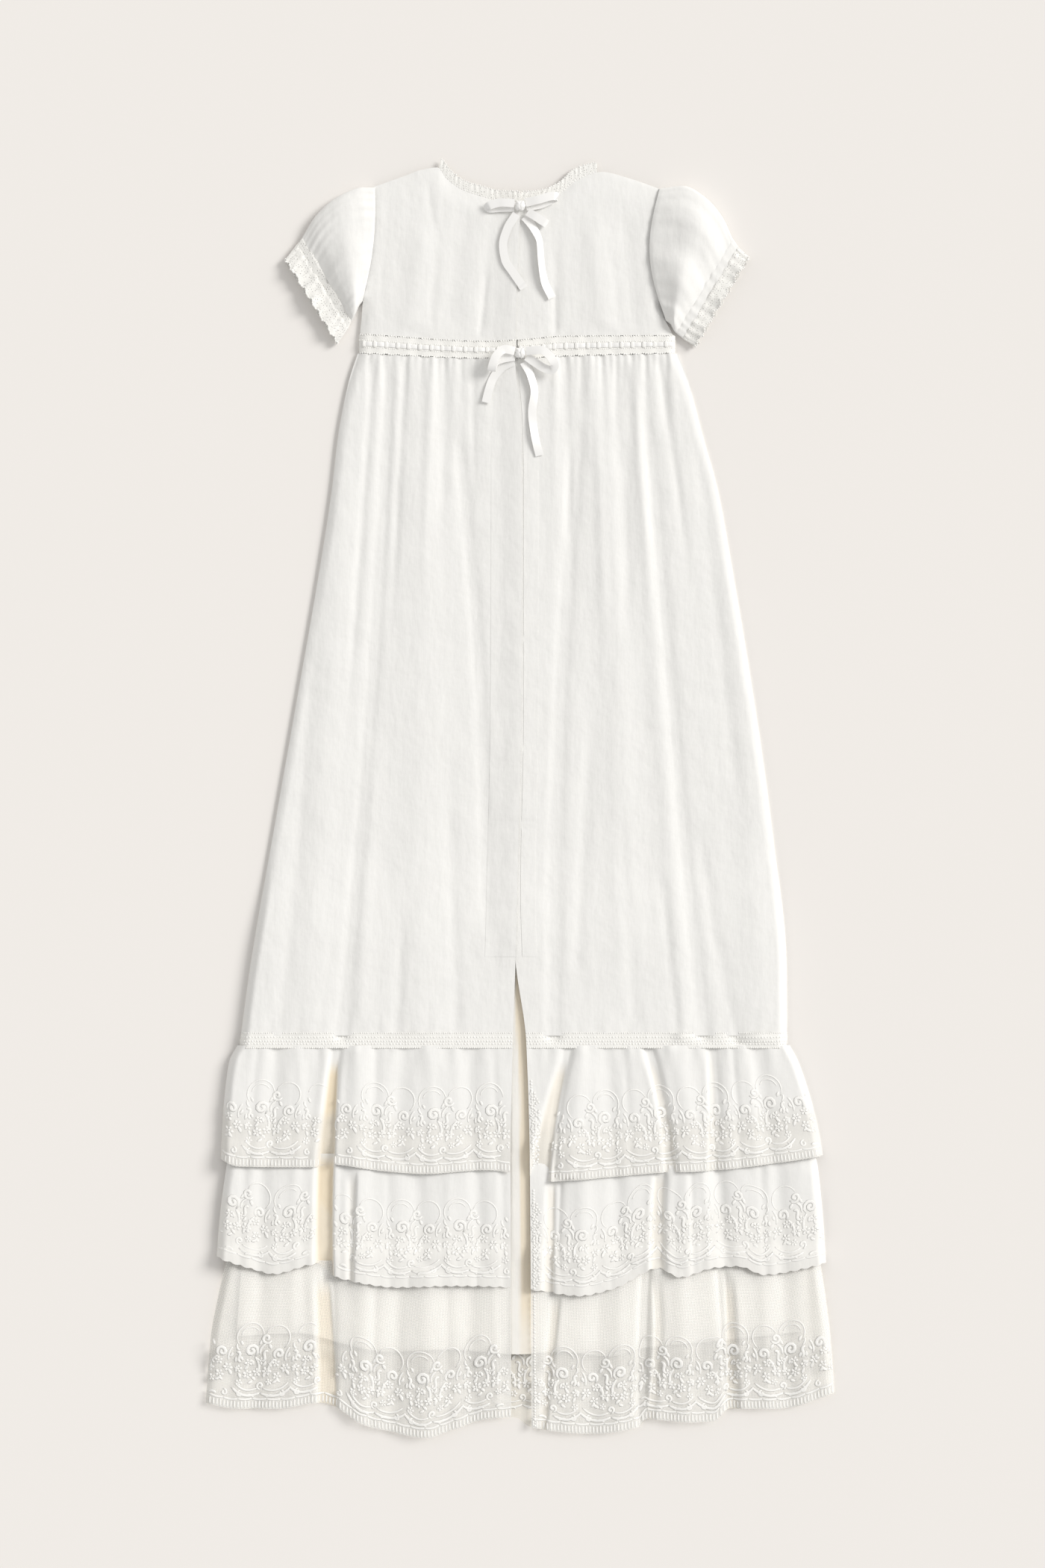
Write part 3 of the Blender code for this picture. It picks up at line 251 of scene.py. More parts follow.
# Deep gaps between a tier's flaps: top y, bottom y, x at the top, middle and bottom, half width at the top
# and bottom, height of the lip to the left and to the right, and depth as a share.
TIER_GAPS = (
    (
        (-198.4, -294.6, -143.5, -147.6, -151.1, 1.2, 5.5, 1.6, 1.8, 1.0),
        (-200.7, -294.6, 35.7, 23.5, 15.4, 1.2, 6.4, 0.4, 2.4, 0.6),
        (-198.4, -292.9, 97.7, 110.5, 115.7, 1.0, 2.9, 2.0, 0.8, 0.45),
        (-190.2, -291.2, 146.4, 148.2, 148.2, 0.8, 2.0, 1.4, 0.6, 0.35),
    ),
    (
        (-269.1, -373.5, -149.9, -151.7, -151.1, 4.6, 5.2, 1.4, 1.8, 1.0),
        (-286.5, -373.5, -129.6, -130.2, -130.8, 1.7, 0.4, 0.9, 1.4, 0.35),
        (-292.3, -384.0, 24.6, 23.5, 22.3, 1.4, 2.3, 0.8, 2.2, 0.5),
        (-286.5, -373.5, 108.2, 105.3, 105.8, 2.3, 4.1, 2.2, 1.4, 0.5),
    ),
    (
        (-366.6, -491.3, -154.0, -150.5, -149.3, 3.5, 5.8, 1.4, 1.8, 0.75),
        (-381.1, -491.3, 29.3, 23.5, 18.3, 1.7, 1.0, 0.6, 1.4, 0.45),
        (-366.6, -491.3, 103.5, 105.8, 98.9, 1.6, 1.2, 1.6, 0.6, 0.35),
        (-366.6, -488.4, 160.4, 163.3, 165.0, 1.4, 3.2, 2.0, 1.2, 0.5),
    ),
)

# Sides of the skirt: y, left x, right x.
SKIRT_SIDES = (
    (343.9, -126.1, 121.5),
    (319.6, -134.3, 131.4),
    (283.0, -141.8, 141.2),
    (239.0, -147.0, 153.4),
    (178.6, -156.3, 164.4),
    (62.1, -176.6, 183.6),
    (-26.7, -192.3, 195.8),
    (-129.9, -210.2, 206.8),
    (-193.7, -218.9, 207.3),
)

# Sides of each tier: y, left x, right x.
TIER_SIDES = (
    (
        (-190.2, -218.9, 207.9),
        (-206.5, -227.1, 216.6),
        (-255.2, -232.3, 231.1),
        (-291.2, -234.0, 237.5),
    ),
    (
        (-276.7, -227.1, 228.8),
        (-286.5, -228.8, 231.1),
        (-320.2, -233.4, 234.6),
        (-366.6, -237.5, 238.1),
    ),
    (
        (-359.6, -228.8, 232.9),
        (-389.8, -235.8, 237.5),
        (-418.2, -241.0, 241.0),
        (-476.8, -245.6, 245.6),
    ),
)

# Where each tier is sewn on: y.
TIER_TOPS = (-192.6, -276.7, -359.6)

# Hem of each tier: x, y.
TIER_HEMS = (
    (
        (-234.0, -280.7), (-218.9, -285.9), (-188.8, -286.5), (-157.5, -286.5),
        (-148.2, -284.2), (-107.6, -289.4), (-74.5, -291.7), (-25.8, -288.8),
        (1.4, -292.3), (21.8, -297.5), (71.6, -294.1), (112.2, -290.6),
        (146.4, -289.4), (202.1, -283.0), (236.9, -277.8),
    ),
    (
        (-237.5, -356.1), (-211.4, -364.2), (-191.7, -368.9), (-159.2, -361.3),
        (-144.7, -370.6), (-123.8, -375.8), (-97.7, -379.3), (-56.5, -378.2),
        (-7.8, -379.3), (8.4, -381.1), (45.5, -385.7), (71.6, -380.5),
        (107.0, -364.8), (123.8, -371.2), (149.9, -364.2), (169.6, -363.1),
        (188.8, -369.5), (238.1, -360.8),
    ),
    (
        (-245.6, -470.4), (-221.3, -475.0), (-188.8, -475.0), (-156.3, -470.4),
        (-144.7, -473.3), (-123.8, -486.6), (-100.6, -493.0), (-74.5, -497.6),
        (-51.9, -491.3), (-25.8, -483.1), (-4.3, -481.4), (8.4, -489.5),
        (55.4, -494.7), (91.3, -489.5), (97.7, -483.1), (130.2, -485.5),
        (149.9, -484.9), (162.7, -475.0), (202.1, -475.0), (245.6, -462.8),
    ),
)

# Hem of the underskirt: x, y.
UNDER_HEM = (
    (-230.5, -418.8), (-178.9, -416.4), (-143.5, -424.6), (-107.6, -430.9),
    (-58.3, -429.2), (-4.3, -432.7), (32.8, -430.9), (71.6, -434.4),
    (97.7, -428.0), (152.8, -422.8), (228.2, -414.7),
)

# Free edges down the middle of the back: y, x of the left half, x of the right half.
BACK_EDGES = (
    (471.0, 0.3, -3.2),
    (343.9, -4.3, -7.8),
    (295.2, -0.3, -4.3),
    (246.5, 0.9, -3.2),
    (65.5, 0.3, -3.2),
    (-70.8, -2.6, -5.5),
    (-121.2, -3.8, -4.3),
    (-189.1, -6.1, 4.3),
    (-286.5, -7.8, 7.2),
    (-497.6, -7.2, 8.4),
)

# Folds of the skirt: top y, bottom y, x at the top, middle and bottom, height, half width, fade in, fade out.
SKIRT_FOLDS = (
    (342.2, -193.7, -101.8, -116.9, -139.5, -3.6, 5.5, 0.03, 0.02),
    (294.6, -117.2, -50.2, -32.2, -27.0, -3.2, 5.0, 0.08, 0.12),
    (342.2, 178.6, -57.7, -59.4, -62.3, -2.2, 4.5, 0.03, 0.50),
    (213.4, -193.7, -156.3, -169.6, -188.8, -1.6, 6.0, 0.20, 0.05),
    (294.6, -193.7, -133.1, -149.3, -165.6, 2.6, 12.0, 0.15, 0.05),
    (294.6, -193.7, -79.8, -76.3, -79.8, 3.0, 16.0, 0.15, 0.05),
    (294.6, -193.7, 45.5, 29.9, 25.8, -3.8, 5.5, 0.05, 0.02),
    (68.4, -152.0, 54.8, 49.0, 43.2, -2.0, 5.0, 0.15, 0.15),
    (342.2, 97.4, 74.5, 80.3, 83.8, -2.2, 5.0, 0.05, 0.30),
    (317.8, -193.7, 97.7, 118.0, 143.0, -3.4, 5.5, 0.10, 0.02),
    (294.6, -18.6, 134.8, 153.4, 169.6, -1.8, 6.0, 0.15, 0.15),
    (-18.6, -193.7, 137.8, 151.1, 168.5, -2.2, 5.5, 0.20, 0.02),
    (294.6, -152.0, 66.4, 76.8, 81.5, 3.0, 11.0, 0.10, 0.10),
    (294.6, -193.7, 88.4, 109.3, 125.6, 2.2, 7.0, 0.10, 0.02),
    (213.4, -193.7, 153.4, 177.8, 184.7, 2.4, 12.0, 0.15, 0.02),
)

# Folds of each tier, in the columns of its soft ones.
TIER_FOLDS = (
    (
        (-142.4, -147.6, -152.2, -4.2, 4.2, 0.02, 0.01),
        (38.6, 28.1, 23.5, -4.2, 4.2, 0.02, 0.01),
        (98.3, 111.1, 114.5, -4.2, 4.2, 0.02, 0.01),
        (149.3, 152.2, 153.4, -2.8, 5.0, 0.02, 0.01),
        (-188.8, -192.3, -194.6, -1.6, 7.0, 0.05, 0.01),
        (-91.3, -93.7, -97.1, -1.8, 8.0, 0.05, 0.01),
        (-40.3, -39.1, -36.8, -1.6, 7.0, 0.05, 0.01),
        (66.4, 69.9, 72.2, -1.5, 7.0, 0.05, 0.01),
        (182.4, 190.5, 196.3, -1.6, 7.0, 0.05, 0.01),
        (-125.0, -127.3, -128.5, 2.0, 9.0, 0.05, 0.01),
        (49.0, 43.2, 39.7, 1.8, 8.0, 0.05, 0.01),
        (119.8, 129.0, 132.5, 1.8, 8.0, 0.05, 0.01),
    ),
    (
        (-151.7, -152.2, -151.1, -4.2, 4.8, 0.02, 0.01),
        (29.3, 27.0, 25.8, -4.2, 4.2, 0.02, 0.01),
        (110.5, 107.0, 111.1, -4.2, 4.4, 0.02, 0.01),
        (152.2, 156.9, 162.7, -2.4, 6.0, 0.02, 0.01),
        (-200.4, -201.5, -203.9, -1.8, 7.0, 0.05, 0.01),
        (-79.8, -78.6, -76.3, -1.8, 8.0, 0.05, 0.01),
        (-33.3, -32.2, -29.9, -1.4, 6.0, 0.05, 0.01),
        (74.5, 75.7, 79.2, -1.6, 7.0, 0.05, 0.01),
        (198.6, 202.1, 205.6, -1.6, 7.0, 0.05, 0.01),
        (-126.1, -123.8, -120.3, 1.8, 9.0, 0.05, 0.01),
        (49.0, 47.8, 46.7, 1.8, 8.0, 0.05, 0.01),
        (127.9, 129.0, 131.4, 1.6, 8.0, 0.05, 0.01),
    ),
    (
        (-150.5, -147.6, -148.8, -4.2, 5.2, 0.02, 0.01),
        (97.7, 94.8, 95.4, -3.8, 4.4, 0.02, 0.01),
        (155.1, 160.4, 163.8, -3.8, 4.6, 0.02, 0.01),
        (25.8, 22.3, 20.0, -1.8, 6.0, 0.02, 0.40),
        (-200.4, -205.0, -208.5, -1.8, 8.0, 0.05, 0.01),
        (-93.7, -97.1, -101.8, -1.6, 7.0, 0.05, 0.01),
        (-40.3, -39.1, -36.8, -1.8, 8.0, 0.05, 0.01),
        (62.9, 59.4, 53.6, -1.4, 8.0, 0.05, 0.01),
        (203.3, 206.8, 210.2, -1.8, 8.0, 0.05, 0.01),
        (-122.7, -122.7, -123.8, 1.8, 9.0, 0.05, 0.01),
        (-72.8, -72.8, -73.9, 2.0, 10.0, 0.05, 0.01),
        (123.2, 126.7, 130.2, 1.8, 9.0, 0.05, 0.01),
    ),
)

# Creases of the back bodice, in the same columns.
BODICE_FOLDS = (
    (451.2, 360.8, -76.3, -79.8, -86.7, 1.2, 9.0, 0.25, 0.10),
    (462.8, 360.8, -44.9, -49.6, -56.5, -0.9, 8.0, 0.25, 0.15),
    (445.4, 360.8, 25.8, 27.0, 26.4, -0.9, 4.0, 0.40, 0.05),
    (445.4, 360.8, -24.6, -27.5, -30.4, -0.7, 4.0, 0.40, 0.05),
    (462.8, 360.8, 53.6, 59.4, 62.9, 1.1, 9.0, 0.25, 0.10),
    (462.8, 360.8, 81.5, 83.8, 88.4, -0.8, 7.0, 0.25, 0.10),
)

# Edges of the bodice's halves: the side seam up from the waist, then the top from the middle out: x, y.
BODICE_LEFT_SEAM = ((-125.0, 360.8), (-123.8, 372.9))
BODICE_LEFT_TOP = (
    (0.3, 462.8), (-15.4, 464.0), (-30.4, 467.5), (-46.7, 473.3),
    (-57.7, 481.4), (-64.7, 490.1), (-76.3, 488.4), (-91.3, 483.1), (-114.0, 475.0),
)
BODICE_RIGHT_SEAM = ((118.6, 359.6), (116.3, 364.2))
BODICE_RIGHT_TOP = (
    (-3.2, 462.8), (14.2, 464.0), (30.4, 469.8), (44.4, 480.2),
    (62.9, 486.6), (85.0, 481.4), (108.2, 473.3),
)

# Outer edge of the neck lace: x, y.
NECK_LEFT = (
    (-0.3, 471.0), (-15.4, 471.5), (-29.9, 475.0), (-44.4, 479.7),
    (-55.4, 488.4), (-61.8, 497.6),
)
NECK_RIGHT = (
    (-0.3, 471.0), (11.9, 471.5), (28.7, 477.3), (42.0, 488.4), (59.4, 494.2),
)

# Waist lace: x, top y, bottom y.
WAIST_LACE = (
    (-126.1, 360.2, 345.7),
    (-24.6, 354.4, 341.6),
    (-0.3, 355.5, 341.6),
    (33.3, 358.4, 343.4),
    (120.3, 359.0, 345.7),
)

# Sections of each sleeve from armhole to cuff: place, top x and y, bottom x and y, height, gather, bow.
LEFT_SLEEVE = (
    (0.00, -114.5, 474.4, -123.2, 385.7, 6.5, 0.3, 3.5),
    (0.25, -123.8, 474.4, -126.1, 381.6, 15.0, 1.5, 2.6),
    (0.50, -142.4, 466.9, -127.9, 377.0, 19.0, 1.2, 1.5),
    (0.75, -159.2, 452.4, -129.6, 373.5, 16.0, 1.2, 0.5),
    (1.00, -169.6, 436.2, -131.4, 370.6, 9.0, 1.0, 0.0),
)
LEFT_CUFF_LACE = (
    (0.00, -170.2, 435.0, -131.9, 370.0, 9.0, 0.6, 0.0),
    (1.00, -174.3, 429.8, -134.3, 364.2, 7.5, 0.6, 0.0),
)
LEFT_FRILL = (
    (0.00, -174.9, 429.2, -134.8, 363.7, 7.5, 0.6, 0.0),
    (1.00, -183.0, 418.8, -142.4, 353.2, 10.0, 2.4, 0.0),
)
RIGHT_SLEEVE = (
    (0.00, 110.5, 473.9, 113.4, 370.6, 6.5, 0.3, -9.8),
    (0.25, 126.1, 475.6, 116.9, 367.7, 16.0, 2.2, -6.0),
    (0.50, 143.0, 466.9, 118.0, 365.4, 20.0, 2.6, -3.0),
    (0.75, 156.9, 451.2, 119.2, 363.1, 16.0, 2.2, -1.0),
    (1.00, 165.0, 434.4, 120.9, 361.3, 8.0, 1.2, 0.0),
)
RIGHT_CASING = (
    (0.00, 165.6, 433.8, 121.5, 360.8, 8.0, 0.5, 0.0),
    (1.00, 169.6, 428.0, 126.7, 356.7, 7.0, 0.5, 0.0),
)
RIGHT_FRILL = (
    (0.00, 170.2, 427.5, 127.3, 356.1, 7.0, 0.6, 0.0),
    (1.00, 177.2, 420.5, 135.4, 350.9, 10.0, 2.4, 0.0),
)

# Ribbons of the two bows: x, y, height over the cloth, turn of the width in degrees from level.
NECK_LOOP_LEFT = (
    (-4.9, 461.1, 3.4, 0), (-14.8, 461.7, 4.6, 0), (-24.1, 459.4, 4.2, 0),
    (-25.8, 458.2, 2.6, 0), (-23.5, 457.6, 1.0, 0), (-14.8, 458.2, 0.9, 0), (-4.9, 458.2, 1.2, 0),
)
NECK_LOOP_RIGHT = (
    (3.8, 461.7, 3.6, 0), (14.2, 464.0, 4.8, 0), (25.8, 466.9, 4.0, 0),
    (28.7, 466.3, 2.6, 0), (25.8, 465.2, 1.0, 0), (14.2, 460.5, 0.9, 0), (4.3, 458.8, 1.2, 0),
)
NECK_LOOP_SHORT = (
    (5.5, 454.7, 2.8, 0), (11.9, 450.7, 4.2, 0), (18.3, 446.6, 3.8, 0),
    (20.4, 445.3, 2.4, 0), (18.6, 446.4, 1.1, 0), (13.6, 449.5, 1.0, 0),
)
NECK_TAIL_LEFT = (
    (-3.2, 453.0, 1.2, 0), (-10.1, 442.0, 1.6, 0), (-13.6, 429.2, 1.6, 0),
    (-11.9, 417.6, 1.4, 0), (-5.5, 407.2, 1.2, 0), (2.6, 395.6, 1.0, 0),
)
NECK_TAIL_RIGHT = (
    (3.2, 451.2, 1.2, 0), (10.1, 442.0, 2.2, 20), (14.8, 430.9, 2.6, 40),
    (15.9, 416.4, 2.6, 40), (18.3, 401.4, 2.0, 30), (24.6, 388.0, 1.2, 10),
)
WAIST_LOOP_LEFT = (
    (-4.6, 346.3, 4.2, 0), (-11.9, 347.4, 6.4, 10), (-18.8, 342.2, 7.5, 10),
    (-21.8, 334.7, 7.0, 0), (-22.6, 330.6, 4.7, 0), (-22.0, 332.9, 2.6, 0),
    (-20.0, 337.6, 1.9, 0), (-14.2, 340.5, 1.9, 0), (-4.9, 342.2, 2.1, 0),
)
WAIST_LOOP_RIGHT = (
    (4.1, 346.3, 4.2, 0), (15.4, 346.8, 6.4, 10), (23.5, 341.0, 7.1, 10),
    (26.4, 334.7, 5.5, 0), (23.5, 331.2, 3.9, 0), (18.8, 332.9, 2.5, 0),
    (11.9, 337.0, 2.0, 0), (4.6, 342.2, 2.1, 0),
)
WAIST_TAIL_LEFT = (
    (-5.5, 338.7, 1.6, 0), (-14.2, 334.1, 1.2, 0), (-21.2, 326.0, 1.4, 0),
    (-24.6, 316.7, 2.3, 0), (-27.0, 306.8, 2.4, 0),
)
WAIST_TAIL_RIGHT = (
    (2.6, 338.1, 3.4, 0), (7.8, 327.7, 3.2, 25), (10.7, 314.9, 2.4, 25),
    (9.0, 299.3, 1.6, 5), (10.7, 283.0, 2.0, 20), (14.8, 265.6, 1.2, 0),
)


def ease(t):
    """0 up to 0 and 1 from 1 on, joined by the smooth step of three times the square less twice the cube."""
    t = np.clip(t, 0.0, 1.0)
    return t * t * (3.0 - 2.0 * t)


def curve(at, places, values):
    """Values read off a smooth curve through a table's points.

    Each stretch is the cubic that has the slopes of its two ends. The slope at an inner point is the harmonic
    mean of the rises on both sides, or none where they differ in sign, so the curve never overshoots.
    """
    places = np.asarray(places, float)
    values = np.asarray(values, float)
    if places[0] > places[-1]:
        places = places[::-1]
        values = values[::-1]
    at = np.clip(np.asarray(at, float), places[0], places[-1])
    step = np.diff(places)
    rise = np.diff(values) / step
    slope = np.empty(len(places))
    slope[0] = rise[0]
    slope[-1] = rise[-1]
    both = rise[:-1] * rise[1:]
    mean = 2.0 * both / np.where(both > 0.0, rise[:-1] + rise[1:], 1.0)
    slope[1:-1] = np.where(both > 0.0, mean, 0.0)
    index = np.clip(np.searchsorted(places, at, side="right") - 1, 0, len(step) - 1)
    h = step[index]
    t = (at - places[index]) / h
    start = values[index]
    end = values[index + 1]
    lead = slope[index] * h
    trail = slope[index + 1] * h
    bend = 2.0 * start - 2.0 * end + lead + trail
    sweep = -3.0 * start + 3.0 * end - 2.0 * lead - trail
    return ((bend * t + sweep) * t + lead) * t + start


def run(points):
    """The length run so far at each point of a line, as the sum of its steps."""
    return np.concatenate([[0.0], np.cumsum(np.linalg.norm(np.diff(points, axis=0), axis=1))])


def path(points, count):
    """Points spread evenly along a smooth line through the given ones, by the length run so far."""
    points = np.asarray(points, float)
    reach = run(points[:, :3])
    at = np.linspace(0.0, reach[-1], count)
    return np.stack([curve(at, reach, points[:, k]) for k in range(points.shape[1])], axis=1)


def column(rows, k):
    """One column of a table."""
    return np.array([row[k] for row in rows])


def sides(rows, y):
    """The left and right x at each y, from a table of sides."""
    ys = column(rows, 0)
    return curve(y, ys, column(rows, 1)), curve(y, ys, column(rows, 2))


def back_edges(y):
    """The free edges of the left and the right half of the back at each y."""
    return sides(BACK_EDGES, y)


def folds(x, y, rows):
    """Height that a table of folds adds at each place.

    A fold is a bell, e to the minus square of the distance from its centre line over its half width. The
    centre line is the parabola through its three places, and the fold fades in and out at its two ends.
    """
    total = np.zeros(np.broadcast(x, y).shape)
    for top, bottom, x0, x1, x2, height, width, fade_in, fade_out in rows:
        t = (y - top) / (bottom - top)
        near = np.clip(t, 0.0, 1.0)
        centre = x0 + (4.0 * x1 - 3.0 * x0 - x2) * near + (2.0 * x0 + 2.0 * x2 - 4.0 * x1) * near**2
        shown = ease(t / fade_in + 0.001) * ease((1.0 - t) / fade_out + 0.001)
        total = total + height * shown * np.exp(-(((x - centre) / width) ** 2))
    return total


def tier_folds(x, y, number, tables):
    """Height that the folds of one tier add at each place, all of them over the tier's own run."""
    return folds(x, y, [TIER_RUN[number] + row for row in tables[number]])


def roll(x, left, right):
    """0 at a side seam and 1 from where the cloth has rolled over: 1 less the square of what is left."""
    gap = np.minimum(x - left, right - x)
    t = np.clip(gap / SIDE_ROLL, 0.0, 1.0)
    return 1.0 - (1.0 - t) ** 2


def skirt_stack(y):
    """Height of the layers under the back of the skirt, which rises where the underskirt begins."""
    return REST_LIFT + (OUTER_BACK - REST_LIFT) * ease((RISE_FROM - y) / (RISE_FROM - RISE_TO))


def skirt_height(x, y):
    """Underside of the back of the skirt: its layers, puff and folds added up, rolled down at the sides."""
    left, right = sides(SKIRT_SIDES, y)
    edge = roll(x, left, right)
    swell = BODY_PUFF + folds(x, y, SKIRT_FOLDS)
    stack = skirt_stack(y) - REST_LIFT
    return REST_LIFT + edge * (stack + np.maximum(swell, LEAST_PUFF))


def tier_height(x, y, number):
    """Underside of one tier of the back.

    It puffs up over its depth of swell below its seam, and rides over the next tier from just above that
    one's seam. The lowest tier sinks to the surface below the hem of the underskirt.
    """
    left, right = sides(TIER_SIDES[number], y)
    edge = roll(x, left, right)
    top = TIER_TOPS[number]
    swell = np.maximum(BODY_PUFF + tier_folds(x, y, number, TIER_FOLDS), LEAST_PUFF)
    if number:
        swell = swell * (0.1 + 0.9 * ease((top - y) / TIER_SWELL))
    floor = OUTER_BACK
    if number < 2:
        lower = TIER_TOPS[number + 1]
        near = ease((lower + RIDE_ABOVE - y) / RIDE_DEPTH)
        next_folds = tier_folds(x, np.minimum(y, lower - 0.5), number + 1, TIER_FOLDS)
        below = np.maximum(BODY_PUFF + next_folds, LEAST_PUFF)
        swell = np.maximum(swell, near * below * (0.1 + 0.9 * ease((lower - y) / TIER_SWELL + 0.15)))
        floor = floor + RIDE_LIFT * near
    if number == 2:
        floor = OUTER_BACK - UNDER_STACK * ease((UNDER_LOW - y) / NET_SINK)
    start = REST_LIFT
    if number:
        start = start + layer_step(top - y, BACK_DROP)
    return start + edge * (floor - start + swell)


def layer_step(depth, drop):
    """Lift of a tier on the one above, which it loses from the given depth on, over the given length."""
    return LAYER_STEP * (1.0 - ease((depth - drop[0]) / drop[1]))


def bodice_height(x, y, u, v):
    """Underside of the back bodice, where u is 1 at the side and v is 1 at the shoulder.

    Its puff is a half sine up the bodice, and rounds off as 1 less a square at the shoulder and the side
    seam.
    """
    side = 1.0 - (1.0 - np.clip((1.0 - u) / 0.10, 0.0, 1.0)) ** 2
    below_arm = 1.0 - ease((y - 382.8) / 8.1)
    side = 1.0 - below_arm * (1.0 - side)
    top = 1.0 - (1.0 - np.clip((1.0 - v) / 0.16, 0.0, 1.0)) ** 2
    swell = BODY_PUFF + 0.8 * np.sin(np.pi * np.clip(v, 0, 1)) + folds(x, y, BODICE_FOLDS)
    return REST_LIFT + side * (0.25 + 0.75 * top) * np.maximum(swell, 0.2)


def lifted(x, y, z):
    """Points from their places and heights."""
    return np.stack(np.broadcast_arrays(x, y, z), axis=-1).astype(float)


def overlap_lift(x, y, inner):
    """Lift of the left half where it laps over the right, most at its inner edge and none below the lap."""
    near = ease(1.0 - (inner - x) / LAP_REACH)
    return near * LAP_LIFT * (1.0 - ease((LAP_STOP - y) / LAP_FADE))


def waist_line(x, k):
    """The y of the waist lace at each x, where k is 1 for its upper edge and 2 for its lower edge."""
    return curve(x, column(WAIST_LACE, 0), column(WAIST_LACE, k))


def patch(bottom, top, left, right):
    """Points of a four-sided panel, whose rows run from its bottom edge to its top one.

    Each is the blend across plus the blend up, less the blend of the four corners.
    """
    v = np.linspace(0.0, 1.0, len(left))[:, None, None]
    u = np.linspace(0.0, 1.0, len(bottom))[None, :, None]
    across = left[:, None, :] * (1.0 - u) + right[:, None, :] * u
    up = bottom[None, :, :] * (1.0 - v) + top[None, :, :] * v
    low = bottom[0] * (1.0 - u) + bottom[-1] * u
    high = top[0] * (1.0 - u) + top[-1] * u
    return across + up - (low * (1.0 - v) + high * v)


def bodice_side(side, count):
    """The side seam and armhole of the bodice, just clear of the sleeve's head and bowed with it."""
    seam = (BODICE_LEFT_SEAM, BODICE_RIGHT_SEAM)[side]
    sleeve = (LEFT_SLEEVE, RIGHT_SLEEVE)[side]
    clear = (0.5, -0.5)[side]
    top = np.array(sleeve[0][1:3])
    low = np.array(sleeve[0][3:5])
    way = (low - top) / np.linalg.norm(low - top)
    square = np.array([-way[1], way[0]])
    share = np.linspace(1.0, 0.0, 9)[:, None]
    hole = top + (low - top) * share + square * sleeve[0][7] * np.sin(np.pi * share) + (clear, 0.0)
    return path(np.concatenate([np.array(seam), hole]), count + 1)


def bodice_grid(side, columns, rows):
    """Plan of one half of the back bodice, from the middle out to the side."""
    outer = bodice_side(side, rows)
    top = path((BODICE_LEFT_TOP, BODICE_RIGHT_TOP)[side], columns + 1)
    start = back_edges(np.array([357.3]))[side][0]
    along = np.linspace(start, outer[0, 0], columns + 1)
    bottom = np.stack([along, waist_line(along, 1) + SEAM], axis=1)
    outer[0] = bottom[-1]
    outer[-1] = top[-1]
    inner_y = np.linspace(bottom[0, 1], top[0, 1], rows + 1)
    inner = np.stack([back_edges(inner_y)[side], inner_y], axis=1)
    inner[0] = bottom[0]
    inner[-1] = top[0]
    return patch(bottom, top, inner, outer)


def under_plan(first, last, places, rows):
    """Plan of a panel of the underskirt, which hangs just inside the skirt's sides.

    Its rows are even shares of the way from its top to its hem. The front runs from side to side, and each
    half of the back from its free edge to its side.
    """
    shares = np.linspace(0.0, 1.0, rows)[:, None]
    guess = np.linspace(*UNDER_ENDS, len(places))
    if first == last:
        start = back_edges(np.array([UNDER_LOW]))[first][0]
        guess = start + (UNDER_ENDS[first] - start) * places
    hem = curve(guess, column(UNDER_HEM, 0), column(UNDER_HEM, 1))
    y = UNDER_TOP + (hem[None, :] - UNDER_TOP) * shares
    down = (UNDER_TOP - y) / (UNDER_TOP - UNDER_LOW)
    left, right = (high + (low - high) * down for high, low in UNDER_SIDES)
    if first == last:
        inner = back_edges(y)[first]
        return inner + ((left, right)[first] - inner) * places[None, :], y
    return left + (right - left) * places[None, :], y


def neck_top(x, y):
    """Top of the bodice under the neck's bow, with the lap of the left half."""
    lap = LAP_LIFT * ease(1.0 - (0.3 - x) / LAP_REACH) * (x < 0.9)
    return REST_LIFT + BODY_PUFF + WALL + 0.8 + lap


def waist_top(x, y):
    """Top of the waist lace under the waist's bow, the same everywhere."""
    return np.full(np.shape(x), REST_LIFT + BODY_PUFF + WALL + 3.2)


def skirt_top(x, y):
    """Top of the back of the skirt, lap and all."""
    middle = back_edges(y)[0]
    return skirt_height(x, y) + np.where(x < middle, overlap_lift(x, y, middle), 0.0) + WALL


class Value:
    """A shader value that sums, products and powers are written with."""

    def __init__(self, finish, socket):
        self.finish = finish
        self.socket = socket

    def math(self, operation, first, second=0.0):
        """A Math node of the given kind."""
        return self.finish.node("Math", {"operation": operation}, {0: first, 1: second})

    def __add__(self, other):
        return self.math("ADD", self, other)

    __radd__ = __add__

    def __sub__(self, other):
        return self.math("SUBTRACT", self, other)

    def __rsub__(self, other):
        return self.math("SUBTRACT", other, self)

    def __mul__(self, other):
        return self.math("MULTIPLY", self, other)

    __rmul__ = __mul__

    def above(self, other):
        """1 where this is more than the other, and 0 elsewhere."""
        return self.math("GREATER_THAN", self, other)

    def below(self, other):
        """1 where this is less than the other, and 0 elsewhere."""
        return self.math("LESS_THAN", self, other)


